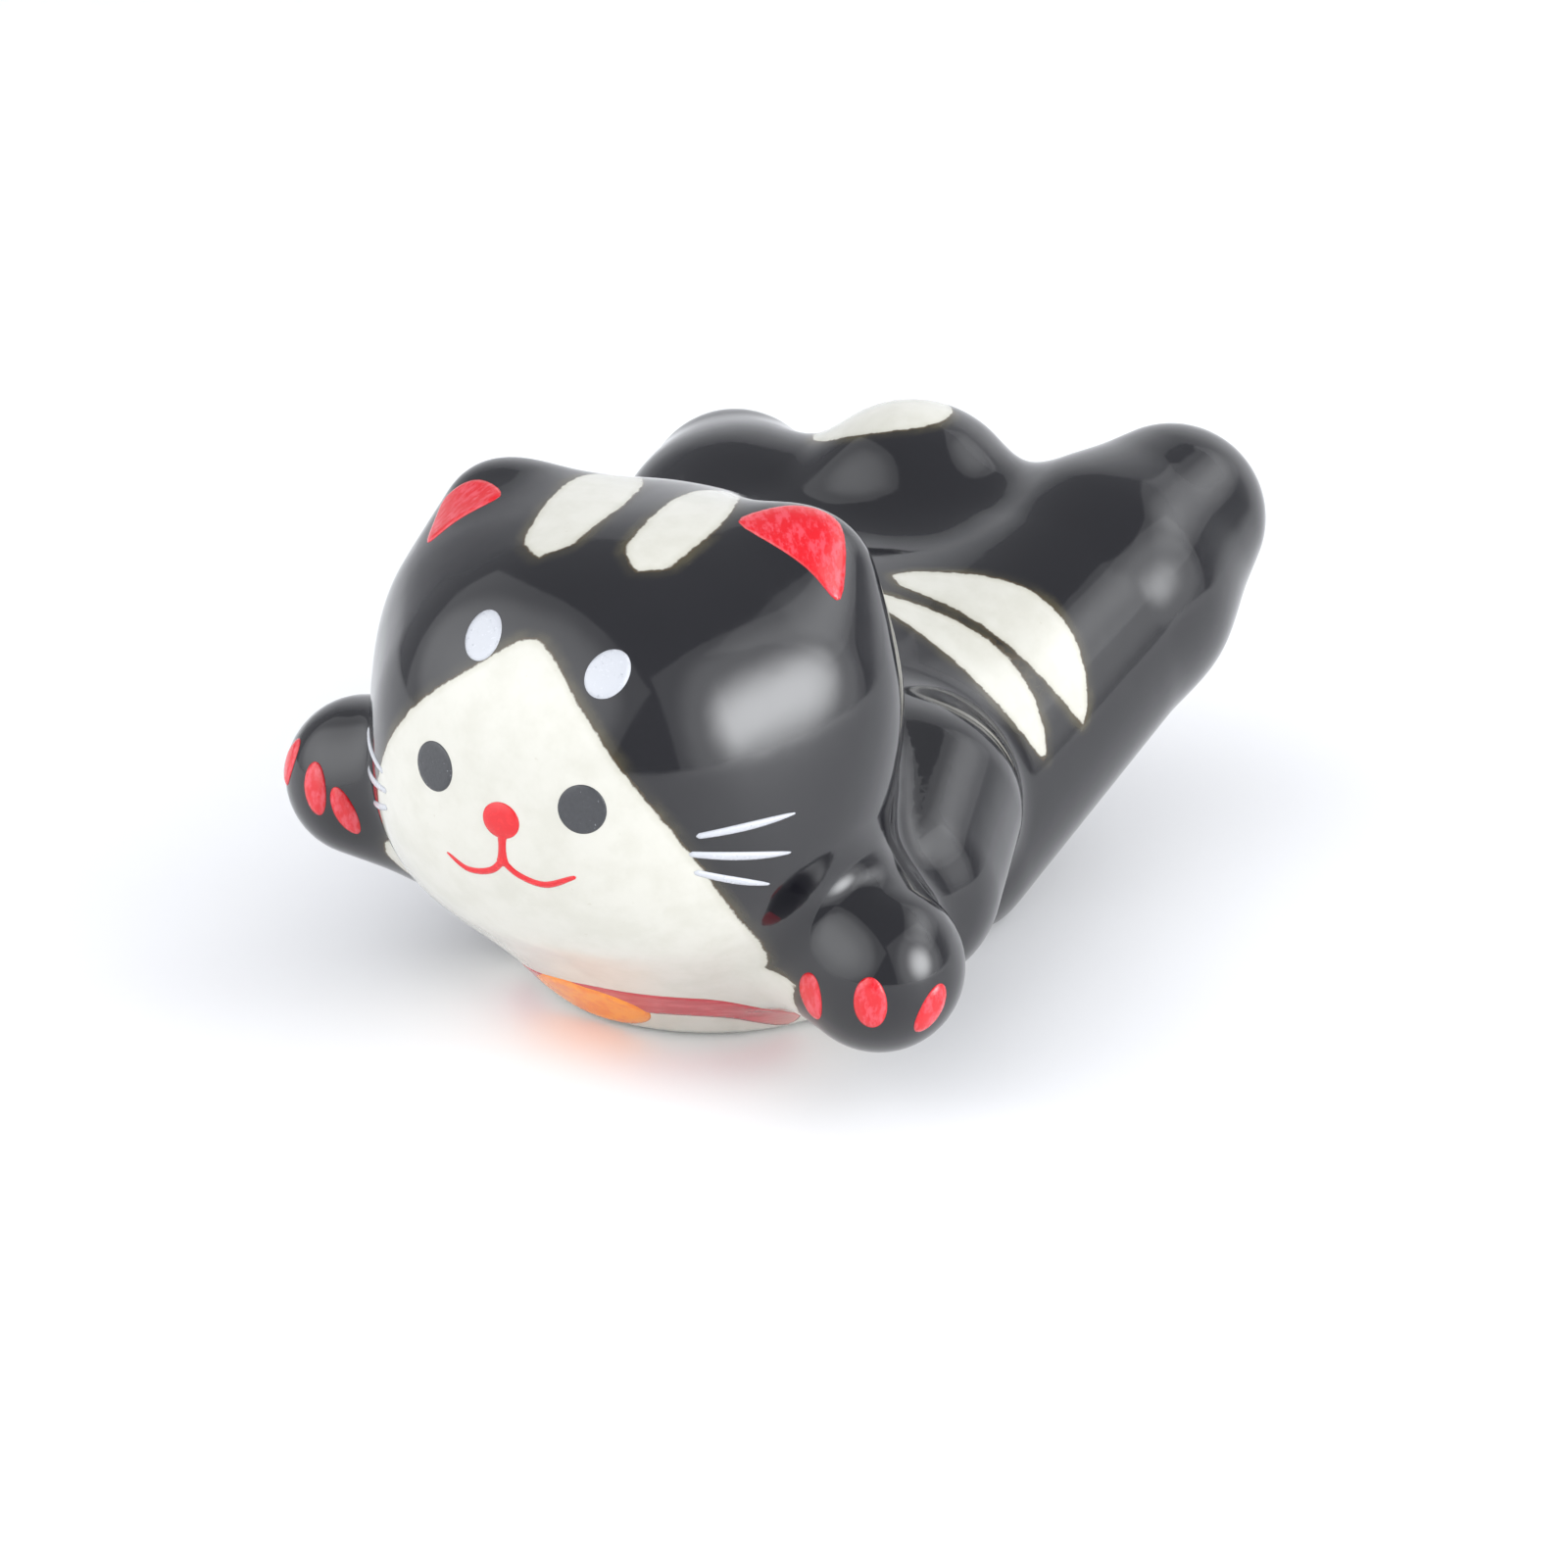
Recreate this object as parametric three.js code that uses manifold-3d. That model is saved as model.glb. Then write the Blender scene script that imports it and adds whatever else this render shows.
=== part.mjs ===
// A cat lying on its belly in glazed porcelain, with its forepaws out to the sides of its chin, its hind
// feet and tail lifted and a dip in the back between them. It is about 63 mm long.
// The clay is formed as nine castings that meet at flat luting faces: a hollow head and torso, two ears,
// two forelegs, two hind legs and a tail. All nine share one smooth skin. Each painted mark lies on that
// skin as a thin fired layer of its own.
// Millimetres. +X is the cat's left, -Y is the way it faces and +Z is up. It stands on its flat belly.

import * as THREE from "three";
import { mergeVertices } from "three/addons/utils/BufferGeometryUtils.js";
import Module from "manifold-3d";

const wasm = await Module();
wasm.setup();

const vec = (x, y, z) => new THREE.Vector3(x, y, z);
const mirrored = (v) => vec(-v.x, v.y, v.z);
const sides = [[1, "left"], [-1, "right"]];

// ---------------------------------------------------------------- driving dimensions

const skull = { centre: vec(0, -17.5, 17.6), radii: vec(12.9, 13.9, 12), squareness: 2.24 };
const cheek = { centre: vec(5.6, -18.4, 13.9), radius: 6.8 };
const ear = { base: vec(7, -17.4, 21), baseRadius: 6.5, tip: vec(8.7, -15.7, 26.3), tipRadius: 3.3, depth: 0.8 };
const chest = { centre: vec(0, -11.2, 8.6), radii: vec(10.5, 10.8, 8.1) };
const trunk = { front: vec(0, -7.7, 6.4), frontRadius: 11.5, back: vec(0, 13.7, 8.4), backRadius: 10.5 };
const tail = { base: vec(0, 18, 12), tip: vec(-1, 20.9, 17.3), radius: 7 };
const upperArm = { front: vec(11.2, -9.3, 7.6), back: vec(10.2, -4, 9.6), radius: 5.9 };
const shoulder = { left: vec(8.9, -15.1, 8), right: vec(-9.3, -14.5, 9.1), radius: 4.8 };
const forepaw = { left: vec(14.9, -19.4, 7.5), right: vec(-16.4, -17.3, 11.2), radius: 4.4 };
const hip = { left: vec(5.7, 4.1, 6.2), radius: 9.1 };
const hock = { left: vec(11.5, 20.7, 14.9), right: vec(-11.8, 19.9, 13.5), radius: 7.8 };
const hindFoot = { left: vec(13.8, 25.6, 18.1), right: vec(-14.2, 23.9, 15.3), radius: 5.7 };

const blend = { cheeks: 4.5, ears: 4, chest: 5, legs: 4, tail: 3.5, upperArms: 2.5, arms: 3, base: 0.8 };
// The neck is a sharp crease behind and beside the head, and widens to a soft one under the chin.
const neckBlend = { narrow: 1.8, wide: 5, wideningFrom: 14, wideningTo: 19 };
const wall = 3;
const ventRadius = 1.5;
const neckChannelRadius = 2.5;
const lutingGap = 0.3;
const enamel = { gap: 0.1, thickness: 0.15 };
const faceTilt = THREE.MathUtils.degToRad(-6);

// ---------------------------------------------------------------- the skin, as a distance field

function softMin(a, b, width) {
  const h = THREE.MathUtils.clamp(0.5 + (0.5 * (b - a)) / width, 0, 1);
  return THREE.MathUtils.lerp(b, a, h) - width * h * (1 - h);
}

function ball(p, centre, radius) {
  return p.distanceTo(centre) - radius;
}

function roundedBlock(p, centre, radii, power) {
  const q = p.clone().sub(centre).divide(radii).toArray().map(Math.abs);
  const size = q.reduce((sum, v) => sum + v ** power, 0) ** (1 / power);
  const slope = Math.hypot(...q.map((v, i) => (v / size) ** (power - 1) / radii.getComponent(i)));
  return (size - 1) / slope;
}

function taperedLimb(p, a, radiusA, b, radiusB) {
  const axis = b.clone().sub(a);
  const length = axis.length();
  const fromA = p.clone().sub(a);
  const along = fromA.dot(axis) / length;
  const across = Math.sqrt(Math.max(fromA.lengthSq() - along * along, 0));
  const taper = (radiusA - radiusB) / length;
  const lean = (across * taper) / Math.sqrt(1 - taper * taper);
  const t = THREE.MathUtils.clamp((along - lean) / length, 0, 1);
  return Math.hypot(along - t * length, across) - THREE.MathUtils.lerp(radiusA, radiusB, t);
}

function earForm(p, side) {
  const flatten = vec(1, 1 / ear.depth, 1);
  const [q, base, tip] = [vec(side * p.x, p.y, p.z), ear.base, ear.tip].map((v) => v.clone().multiply(flatten));
  return ear.depth * taperedLimb(q, base, ear.baseRadius, tip, ear.tipRadius);
}

function headForm(p) {
  const cheeks = Math.min(ball(p, cheek.centre, cheek.radius), ball(p, mirrored(cheek.centre), cheek.radius));
  const face = softMin(roundedBlock(p, skull.centre, skull.radii, skull.squareness), cheeks, blend.cheeks);
  return softMin(face, Math.min(earForm(p, 1), earForm(p, -1)), blend.ears);
}

function hindLegForm(p, hipPoint, hockPoint, footPoint) {
  const thigh = taperedLimb(p, hipPoint, hip.radius, hockPoint, hock.radius);
  const foot = taperedLimb(p, hockPoint, hock.radius, footPoint, hindFoot.radius);
  return softMin(thigh, foot, 1);
}

function upperArmForm(p, side) {
  return taperedLimb(vec(side * p.x, p.y, p.z), upperArm.front, upperArm.radius, upperArm.back, upperArm.radius);
}

function bodyForm(p) {
  const chestForm = roundedBlock(p, chest.centre, chest.radii, 2);
  const trunkForm = taperedLimb(p, trunk.front, trunk.frontRadius, trunk.back, trunk.backRadius);
  let form = softMin(chestForm, trunkForm, blend.chest);
  form = softMin(form, hindLegForm(p, hip.left, hock.left, hindFoot.left), blend.legs);
  form = softMin(form, hindLegForm(p, mirrored(hip.left), hock.right, hindFoot.right), blend.legs);
  form = softMin(form, taperedLimb(p, tail.base, tail.radius, tail.tip, tail.radius), blend.tail);
  return softMin(form, Math.min(upperArmForm(p, 1), upperArmForm(p, -1)), blend.upperArms);
}

function skin(p) {
  const armLeft = taperedLimb(p, shoulder.left, shoulder.radius, forepaw.left, forepaw.radius);
  const armRight = taperedLimb(p, shoulder.right, shoulder.radius, forepaw.right, forepaw.radius);
  const { narrow, wide, wideningFrom, wideningTo } = neckBlend;
  const neckWidth = THREE.MathUtils.lerp(narrow, wide, THREE.MathUtils.smoothstep(-p.y, wideningFrom, wideningTo));
  const whole = softMin(softMin(headForm(p), bodyForm(p), neckWidth), Math.min(armLeft, armRight), blend.arms);
  return -softMin(-whole, p.z, blend.base);
}

function outward(p) {
  const step = 0.01;
  const slope = [vec(step, 0, 0), vec(0, step, 0), vec(0, 0, step)].map(
    (e) => skin(p.clone().add(e)) - skin(p.clone().sub(e)),
  );
  return vec(...slope).normalize();
}

// ---------------------------------------------------------------- solids

function onlyPositions(geometry) {
  geometry.deleteAttribute("normal");
  geometry.deleteAttribute("uv");
  return mergeVertices(geometry);
}

function toSolid(merged) {
  const corners = Array.from(merged.index.array);
  const faces = [];
  for (let i = 0; i < corners.length; i += 3) {
    const face = corners.slice(i, i + 3);
    if (new Set(face).size === 3) faces.push(...face);
  }
  const vertProperties = new Float32Array(merged.attributes.position.array);
  return new wasm.Manifold(new wasm.Mesh({ numProp: 3, vertProperties, triVerts: new Uint32Array(faces) }));
}

function toGeometry(solid) {
  const mesh = solid.getMesh();
  const geometry = new THREE.BufferGeometry();
  geometry.setAttribute("position", new THREE.BufferAttribute(mesh.vertProperties, 3));
  geometry.setIndex(new THREE.BufferAttribute(mesh.triVerts, 1));
  geometry.computeVertexNormals();
  return geometry;
}

// Walks from a point inside the clay towards the skin, and stops there or at the reach.
function walkOut(start, direction, offset, reach) {
  let distance = 1;
  for (let i = 0; i < 120; i += 1) {
    const gap = skin(start.clone().addScaledVector(direction, distance)) - offset;
    distance = THREE.MathUtils.clamp(distance - 0.9 * gap, 0, reach + offset);
    if (Math.abs(gap) < 1e-4) break;
  }
  return start.clone().addScaledVector(direction, distance);
}

function wrapped(shell, startOf, offset, reach) {
  const position = shell.attributes.position;
  const p = vec(0, 0, 0);
  for (let i = 0; i < position.count; i += 1) {
    p.fromBufferAttribute(position, i);
    const start = startOf(p);
    const onSkin = walkOut(start, p.clone().sub(start).normalize(), offset, reach);
    position.setXYZ(i, ...onSkin.toArray());
  }
  return toSolid(shell);
}

function roundSkin(form, offset = 0, detail = form.detail) {
  const geometry = onlyPositions(new THREE.IcosahedronGeometry(1, detail));
  geometry.translate(...form.centre.toArray());
  return wrapped(geometry, () => form.centre, offset, form.reach);
}

function longSkin(form, offset = 0, detail = form.detail) {
  const { from, to } = form;
  const axis = to.clone().sub(from);
  const geometry = onlyPositions(new THREE.CapsuleGeometry(1, axis.length(), detail, 4 * detail, 2 * detail));
  const turn = new THREE.Quaternion().setFromUnitVectors(vec(0, 1, 0), axis.clone().normalize());
  geometry.applyQuaternion(turn);
  geometry.translate(...from.clone().lerp(to, 0.5).toArray());
  const line = new THREE.Line3(from, to);
  return wrapped(geometry, (p) => line.closestPointToPoint(p, true, vec(0, 0, 0)), offset, form.reach);
}

const skinOf = (form, offset, detail) => (form.from ? longSkin : roundSkin)(form, offset, detail);

function halfSpace({ point, normal }, inset) {
  const size = 120;
  const box = new THREE.BoxGeometry(size, size, size);
  box.translate(0, 0, size / 2 + inset);
  box.applyQuaternion(new THREE.Quaternion().setFromUnitVectors(vec(0, 0, 1), normal.clone().normalize()));
  box.translate(...point.toArray());
  return toSolid(onlyPositions(box));
}

const cellOf = (planes, inset) => planes.map((plane) => halfSpace(plane, inset)).reduce((a, b) => a.intersect(b));

function rod(from, to, radius) {
  const axis = to.clone().sub(from);
  const geometry = new THREE.CylinderGeometry(radius, radius, axis.length(), 20);
  geometry.applyQuaternion(new THREE.Quaternion().setFromUnitVectors(vec(0, 1, 0), axis.normalize()));
  geometry.translate(...from.clone().lerp(to, 0.5).toArray());
  return toSolid(onlyPositions(geometry));
}

// ---------------------------------------------------------------- castings

// Each luting plane faces the smaller of the two castings that meet there.
const mirroredPlane = ({ point, normal }) => ({ point: mirrored(point), normal: mirrored(normal) });
const neckPlane = { point: vec(0, -14.7, 11.8), normal: vec(0, -0.51, 0.86) };
const earPlane = { point: vec(9.2, -16.4, 26.4), normal: vec(0.74, -0.15, 0.65) };
const leftArmPlane = { point: vec(11.8, -16.8, 7.8), normal: vec(0.8, -0.2, -0.56) };
const rightArmPlane = { point: vec(-12.7, -16, 9.9), normal: vec(-0.9, -0.15, -0.4) };
const elbowPlane = { point: vec(0, -14.4, 8), normal: vec(0, -1, 0) };
const rumpPlane = { point: vec(0, 13, 12), normal: vec(0, 0.85, 0.53) };
const legPlane = { point: vec(6.6, 20, 14), normal: vec(1, 0, 0) };
const tailPlane = { point: vec(0, 17, 14), normal: vec(0, 0.7, 0.71) };

// A round form is walked out from its centre, and a long one from the nearest point of a line.
const headSkin = { centre: skull.centre, reach: 18, detail: 8 };
const torsoSkin = { from: vec(0, -9, 8.5), to: vec(0, 14, 8.5), reach: 20, detail: 6 };
const leftPawSkin = { centre: forepaw.left, reach: 10, detail: 5 };
const rightPawSkin = { centre: forepaw.right, reach: 10, detail: 5 };
const leftFootSkin = { from: vec(10.5, 17, 12), to: hindFoot.left, reach: 14, detail: 4 };
const rightFootSkin = { from: vec(-10.5, 17, 11), to: hindFoot.right, reach: 14, detail: 4 };
const tailSkin = { centre: vec(0, 20, 15), reach: 14, detail: 5 };

function headHollow() {
  return roundSkin(headSkin, -wall, 5);
}

function torsoHollow() {
  const cavity = longSkin({ ...torsoSkin, reach: 7 + wall }, -wall, 4);
  const belly = torsoSkin.from.clone().lerp(torsoSkin.to, 0.5);
  const vent = rod(belly, belly.clone().setZ(-wall), ventRadius);
  return cavity.add(vent).add(rod(torsoSkin.from, skull.centre, neckChannelRadius));
}

// In this order each casting takes what its planes leave of the skin, less the castings before it.
const castings = [
  { name: "left_ear", form: headSkin, planes: [earPlane] },
  { name: "right_ear", form: headSkin, planes: [mirroredPlane(earPlane)] },
  { name: "left_foreleg", form: leftPawSkin, planes: [leftArmPlane, elbowPlane] },
  { name: "right_foreleg", form: rightPawSkin, planes: [rightArmPlane, elbowPlane] },
  { name: "left_hind_leg", form: leftFootSkin, planes: [rumpPlane, legPlane] },
  { name: "right_hind_leg", form: rightFootSkin, planes: [rumpPlane, mirroredPlane(legPlane)] },
  { name: "tail", form: tailSkin, planes: [tailPlane] },
  { name: "head", form: headSkin, planes: [neckPlane], hollow: headHollow },
  { name: "torso", form: torsoSkin, planes: [], hollow: torsoHollow },
];

const glaze = {
  black: new THREE.MeshStandardMaterial({ color: 0x1b1c22, roughness: 0.12, metalness: 0 }),
  white: new THREE.MeshStandardMaterial({ color: 0xe9e7da, roughness: 0.12, metalness: 0 }),
  red: new THREE.MeshStandardMaterial({ color: 0xd8192b, roughness: 0.2, metalness: 0 }),
  pink: new THREE.MeshStandardMaterial({ color: 0xe64a58, roughness: 0.25, metalness: 0 }),
  orange: new THREE.MeshStandardMaterial({ color: 0xf39a17, roughness: 0.2, metalness: 0 }),
  grey: new THREE.MeshStandardMaterial({ color: 0x34363b, roughness: 0.35, metalness: 0 }),
};

const cat = new THREE.Group();

function addPiece(name, solid, material) {
  const mesh = new THREE.Mesh(toGeometry(solid), material.clone());
  mesh.name = name;
  cat.add(mesh);
}

// What each casting's planes leave of a solid, clear of the castings before it.
function trimmed(solid, name) {
  const order = castings.findIndex((casting) => casting.name === name);
  const { planes } = castings[order];
  const own = planes.length > 0 ? solid.intersect(cellOf(planes, lutingGap / 2)) : solid;
  const before = castings.slice(0, order).map((casting) => cellOf(casting.planes, -lutingGap / 2));
  return before.reduce((rest, cell) => rest.subtract(cell), own);
}

function addCastings() {
  for (const { name, form, hollow } of castings) {
    const solid = hollow ? skinOf(form).subtract(hollow()) : skinOf(form);
    addPiece(name, trimmed(solid, name), glaze.black);
  }
}

// ---------------------------------------------------------------- painted marks

// The thin fired layer over one casting. A second coat lies clear over the first.
function layerOver(name, coat) {
  const { form } = castings.find((casting) => casting.name === name);
  const bottom = enamel.gap + coat * (enamel.gap + enamel.thickness);
  return trimmed(skinOf(form, bottom + enamel.thickness).subtract(skinOf(form, bottom)), name);
}

const layers = {};

// The point where a straight line from outside first meets the skin.
function landing(start, direction) {
  const p = start.clone();
  for (let i = 0; i < 200; i += 1) p.addScaledVector(direction, 0.8 * skin(p));
  return p;
}

// Axes for drawing on the skin: x to the right and y up as one looks at the point from outside.
function drawingAxes(point, normal, up) {
  const right = up.clone().cross(normal).normalize();
  const matrix = new THREE.Matrix4().makeBasis(right, normal.clone().cross(right), normal);
  return matrix.setPosition(point);
}

function stamp(shape, axes, depth = 5) {
  const geometry = new THREE.ExtrudeGeometry(shape, { depth, bevelEnabled: false, curveSegments: 8 });
  geometry.translate(0, 0, -depth / 2);
  geometry.applyMatrix4(axes);
  return toSolid(onlyPositions(geometry));
}

function addMark(name, material, castingName, stamps, coat = 0) {
  const key = `${castingName} ${coat}`;
  layers[key] ??= layerOver(castingName, coat);
  addPiece(name, layers[key].intersect(stamps.reduce((a, b) => a.add(b))), material);
}

const oval = (rx, ry = rx, turn = 0) => new THREE.Shape().absellipse(0, 0, rx, ry, 0, 2 * Math.PI, false, turn);

// A brush stroke along a curve, full width in the middle and finer at its ends.
function stroke(points, width, endWidth) {
  const curve = new THREE.SplineCurve(points.map(([x, y]) => new THREE.Vector2(x, y)));
  const steps = 6;
  const edge = (side) =>
    Array.from({ length: steps + 1 }, (_, i) => {
      const t = i / steps;
      const along = curve.getTangent(t);
      const half = THREE.MathUtils.lerp(endWidth, width, Math.sin(Math.PI * t)) / 2;
      return curve.getPoint(t).add(new THREE.Vector2(-along.y, along.x).multiplyScalar(side * half));
    });
  return new THREE.Shape([...edge(-1), ...edge(1).reverse()]);
}

// The face is drawn from its nose, tilted a little to the cat's left. Right and up are seen from the front.
const nose = { x: -0.4, z: 17.1, width: 2.1, height: 1.9 };
const eye = { right: 4.26, up: 1.4, radius: 1.27 };
const browDot = { right: 3.45, up: 7.9, radius: 1.03 };
const lipCentre = { right: 0.2, up: -2.8 };
const brush = { lips: 0.45, whisker: 0.45, fine: 0.2 };
const faceUp = vec(Math.sin(-faceTilt), 0, Math.cos(faceTilt));

function faceAxes(right, up) {
  const place = new THREE.Vector2(right, up).rotateAround(new THREE.Vector2(0, 0), faceTilt);
  const point = landing(vec(nose.x + place.x, -45, nose.z + place.y), vec(0, 1, 0));
  return drawingAxes(point, outward(point), faceUp);
}

function maskShape() {
  const shape = new THREE.Shape();
  shape.moveTo(-1.1, 7.8);
  shape.quadraticCurveTo(0, 9.1, 1.4, 8.1);
  shape.lineTo(9.3, -0.1);
  shape.quadraticCurveTo(11.2, -2.9, 11.1, -8);
  shape.lineTo(10.8, -14);
  shape.lineTo(-10.8, -14);
  shape.lineTo(-11.1, -8);
  shape.quadraticCurveTo(-11.2, -4.2, -9, -2);
  shape.lineTo(-7, 1.2);
  return shape;
}

function addFace() {
  const front = drawingAxes(vec(nose.x, skull.centre.y - skull.radii.y / 2, nose.z), vec(0, -1, 0), faceUp);
  addMark("white_face_mask", glaze.white, "head", [stamp(maskShape(), front, skull.radii.y + 2)]);
  for (const [side, word] of sides) {
    addMark(`${word}_eye`, glaze.grey, "head", [stamp(oval(eye.radius), faceAxes(side * eye.right, eye.up))], 1);
    const dot = stamp(oval(browDot.radius), faceAxes(side * browDot.right, browDot.up));
    addMark(`${word}_brow_dot`, glaze.white, "head", [dot]);
  }
  addMark("nose", glaze.red, "head", [stamp(oval(nose.width / 2, nose.height / 2), faceAxes(0, 0))], 1);
  const lips = [
    [[-0.25, 1.7], [-0.15, 0.9], [0, -0.05]],
    [[0.05, 0.1], [-0.6, -0.6], [-1.5, -0.75], [-3, 0.15]],
    [[-0.05, 0.1], [0.8, -0.65], [1.9, -0.9], [3.6, -0.3]],
  ].map((line) => stamp(stroke(line, brush.lips, brush.lips / 2), faceAxes(lipCentre.right, lipCentre.up)));
  addMark("mouth_line", glaze.red, "head", lips, 1);
}

// Three whiskers fan out from the edge of the mask. Right and up are of each whisker's middle.
const whiskers = [
  { word: "upper", right: 10.6, up: 0.9, halfLength: 2.4, rise: 0.3 },
  { word: "middle", right: 10.5, up: -0.8, halfLength: 2.4, rise: -0.25 },
  { word: "lower", right: 10.3, up: -2, halfLength: 1.7, rise: -0.35 },
];

function addWhiskers() {
  for (const [side, word] of sides) {
    for (const { word: height, right, up, halfLength, rise } of whiskers) {
      const line = [[-halfLength, -rise], [0, 0], [halfLength, rise]].map(([x, y]) => [side * x, y]);
      const point = landing(vec(side * right, -45, nose.z + up), vec(0, 1, 0));
      const axes = drawingAxes(point, outward(point), vec(0, 0, 1));
      const paint = stamp(stroke(line, brush.whisker, brush.fine), axes, 4);
      addMark(`${word}_${height}_whisker`, glaze.white, "head", [paint], 1);
    }
  }
}

// Red paint fills the front of each ear, with its long corner down the outer edge.
function addInnerEars() {
  for (const [side, word] of sides) {
    const corners = [[-3.2, 1.4], [0.9, 1.9], [2.1, -2.2], [-0.3, -0.3]];
    const shape = new THREE.Shape(corners.map(([x, y]) => new THREE.Vector2(side * x, y)));
    const point = landing(vec(side * 9.3, -45, 27.9), vec(0, 1, 0));
    const paint = stamp(shape, drawingAxes(point, outward(point), vec(0, 0, 1)));
    addMark(`${word}_inner_ear`, glaze.pink, `${word}_ear`, [paint]);
  }
}

// Two white stripes run back over the crown. Each is an oval seen from above, about its own centre.
const crownStripes = [
  { word: "left", x: 3.5, y: -18, halfWidth: 1.7, halfLength: 5.8, turn: 3 },
  { word: "right", x: -2.6, y: -18.3, halfWidth: 2.1, halfLength: 6.2, turn: 3 },
];

function addCrownStripes() {
  for (const { word, x, y, halfWidth, halfLength, turn } of crownStripes) {
    const point = landing(vec(x, y, 45), vec(0, 0, -1));
    const axes = drawingAxes(point, outward(point), vec(0, 1, 0));
    const shape = oval(halfWidth, halfLength, THREE.MathUtils.degToRad(turn));
    addMark(`${word}_crown_stripe`, glaze.white, "head", [stamp(shape, axes, 10)]);
  }
}

// Two white crescents cross each flank, one behind the other, from beside the spine to the side.
const flankStripes = [
  { word: "front", y: 4.2, halfLength: 7, forward: 1.3, back: 1 },
  { word: "rear", y: 7.6, halfLength: 6.8, forward: 1.6, back: 1.8 },
];

function addFlankStripes() {
  for (const [side, word] of sides) {
    for (const { word: place, y, halfLength, forward, back } of flankStripes) {
      const shape = new THREE.Shape();
      shape.moveTo(-halfLength, 0);
      shape.quadraticCurveTo(0, 2 * back, halfLength, 0);
      shape.quadraticCurveTo(0, -2 * forward, -halfLength, 0);
      const point = landing(vec(side * 28, y, 38), vec(-side * 0.62, 0, -0.78).normalize());
      const axes = drawingAxes(point, outward(point), vec(0, 1, 0));
      addMark(`${word}_${place}_flank_stripe`, glaze.white, "torso", [stamp(shape, axes, 12)]);
    }
  }
}

function addTailTip() {
  const point = landing(vec(-2.8, 21.8, 45), vec(0, 0, -1));
  const axes = drawingAxes(point, outward(point), vec(0, 1, 0));
  addMark("white_tail_tip", glaze.white, "tail", [stamp(oval(4.2, 3.8), axes, 8)]);
}

// The red collar crosses the chest under the chin and the orange bell hangs over it.
const collar = { height: 2, width: 1.9, reach: 9, fall: 0.34 };
const bell = { x: -1.4, z: 2.9, radius: 2.9 };

function addCollar() {
  const shape = new THREE.Shape();
  shape.moveTo(-collar.reach, collar.fall);
  shape.quadraticCurveTo(0, collar.width, collar.reach, collar.fall);
  shape.lineTo(collar.reach, -collar.width / 2);
  shape.quadraticCurveTo(0, collar.fall, -collar.reach, -collar.width / 2);
  const front = drawingAxes(vec(0, chest.centre.y - 8, collar.height), vec(0, -1, 0), vec(0, 0, 1));
  addMark("collar", glaze.red, "torso", [stamp(shape, front, 8)]);
  const point = landing(vec(bell.x, -45, bell.z), vec(0, 1, 0));
  const axes = drawingAxes(point, outward(point), vec(0, 0, 1));
  addMark("bell", glaze.orange, "torso", [stamp(oval(bell.radius), axes)], 1);
}

// Three toe pads on each forepaw, placed by the angle round the paw from straight ahead and its height.
const toePads = [
  { side: 1, word: "left_inner", angle: -29, rise: -8, halfWidth: 0.9 },
  { side: 1, word: "left_middle", angle: 18, rise: -1, halfWidth: 0.85 },
  { side: 1, word: "left_outer", angle: 62, rise: -10, halfWidth: 0.85 },
  { side: -1, word: "right_inner", angle: -16, rise: -6, halfWidth: 0.65 },
  { side: -1, word: "right_middle", angle: 11, rise: 7, halfWidth: 0.75 },
  { side: -1, word: "right_outer", angle: 48, rise: 17, halfWidth: 0.8 },
];
const toePadHalfHeight = 1.4;

function addToePads() {
  for (const { side, word, angle, rise, halfWidth } of toePads) {
    const [form, leg] = side > 0 ? [leftPawSkin, "left_foreleg"] : [rightPawSkin, "right_foreleg"];
    const [a, b] = [angle, rise].map(THREE.MathUtils.degToRad);
    const ahead = vec(side * Math.sin(a) * Math.cos(b), -Math.cos(a) * Math.cos(b), Math.sin(b));
    const point = landing(form.centre.clone().addScaledVector(ahead, 20), ahead.clone().negate());
    const paint = stamp(oval(halfWidth, toePadHalfHeight), drawingAxes(point, outward(point), vec(0, 0, 1)), 3);
    addMark(`${word}_toe_pad`, glaze.pink, leg, [paint]);
  }
}

addCastings();
addFace();
addWhiskers();
addInnerEars();
addCrownStripes();
addFlankStripes();
addTailTip();
addCollar();
addToePads();

// The origin is on the ground under the middle of the whole figure.
const bounds = new THREE.Box3().setFromObject(cat);
const middle = bounds.getCenter(vec(0, 0, 0));
cat.position.set(-middle.x, -middle.y, 0);

export default cat;
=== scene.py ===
import math

import bmesh
import bpy
import numpy as np
from mathutils import Matrix, Vector


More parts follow.
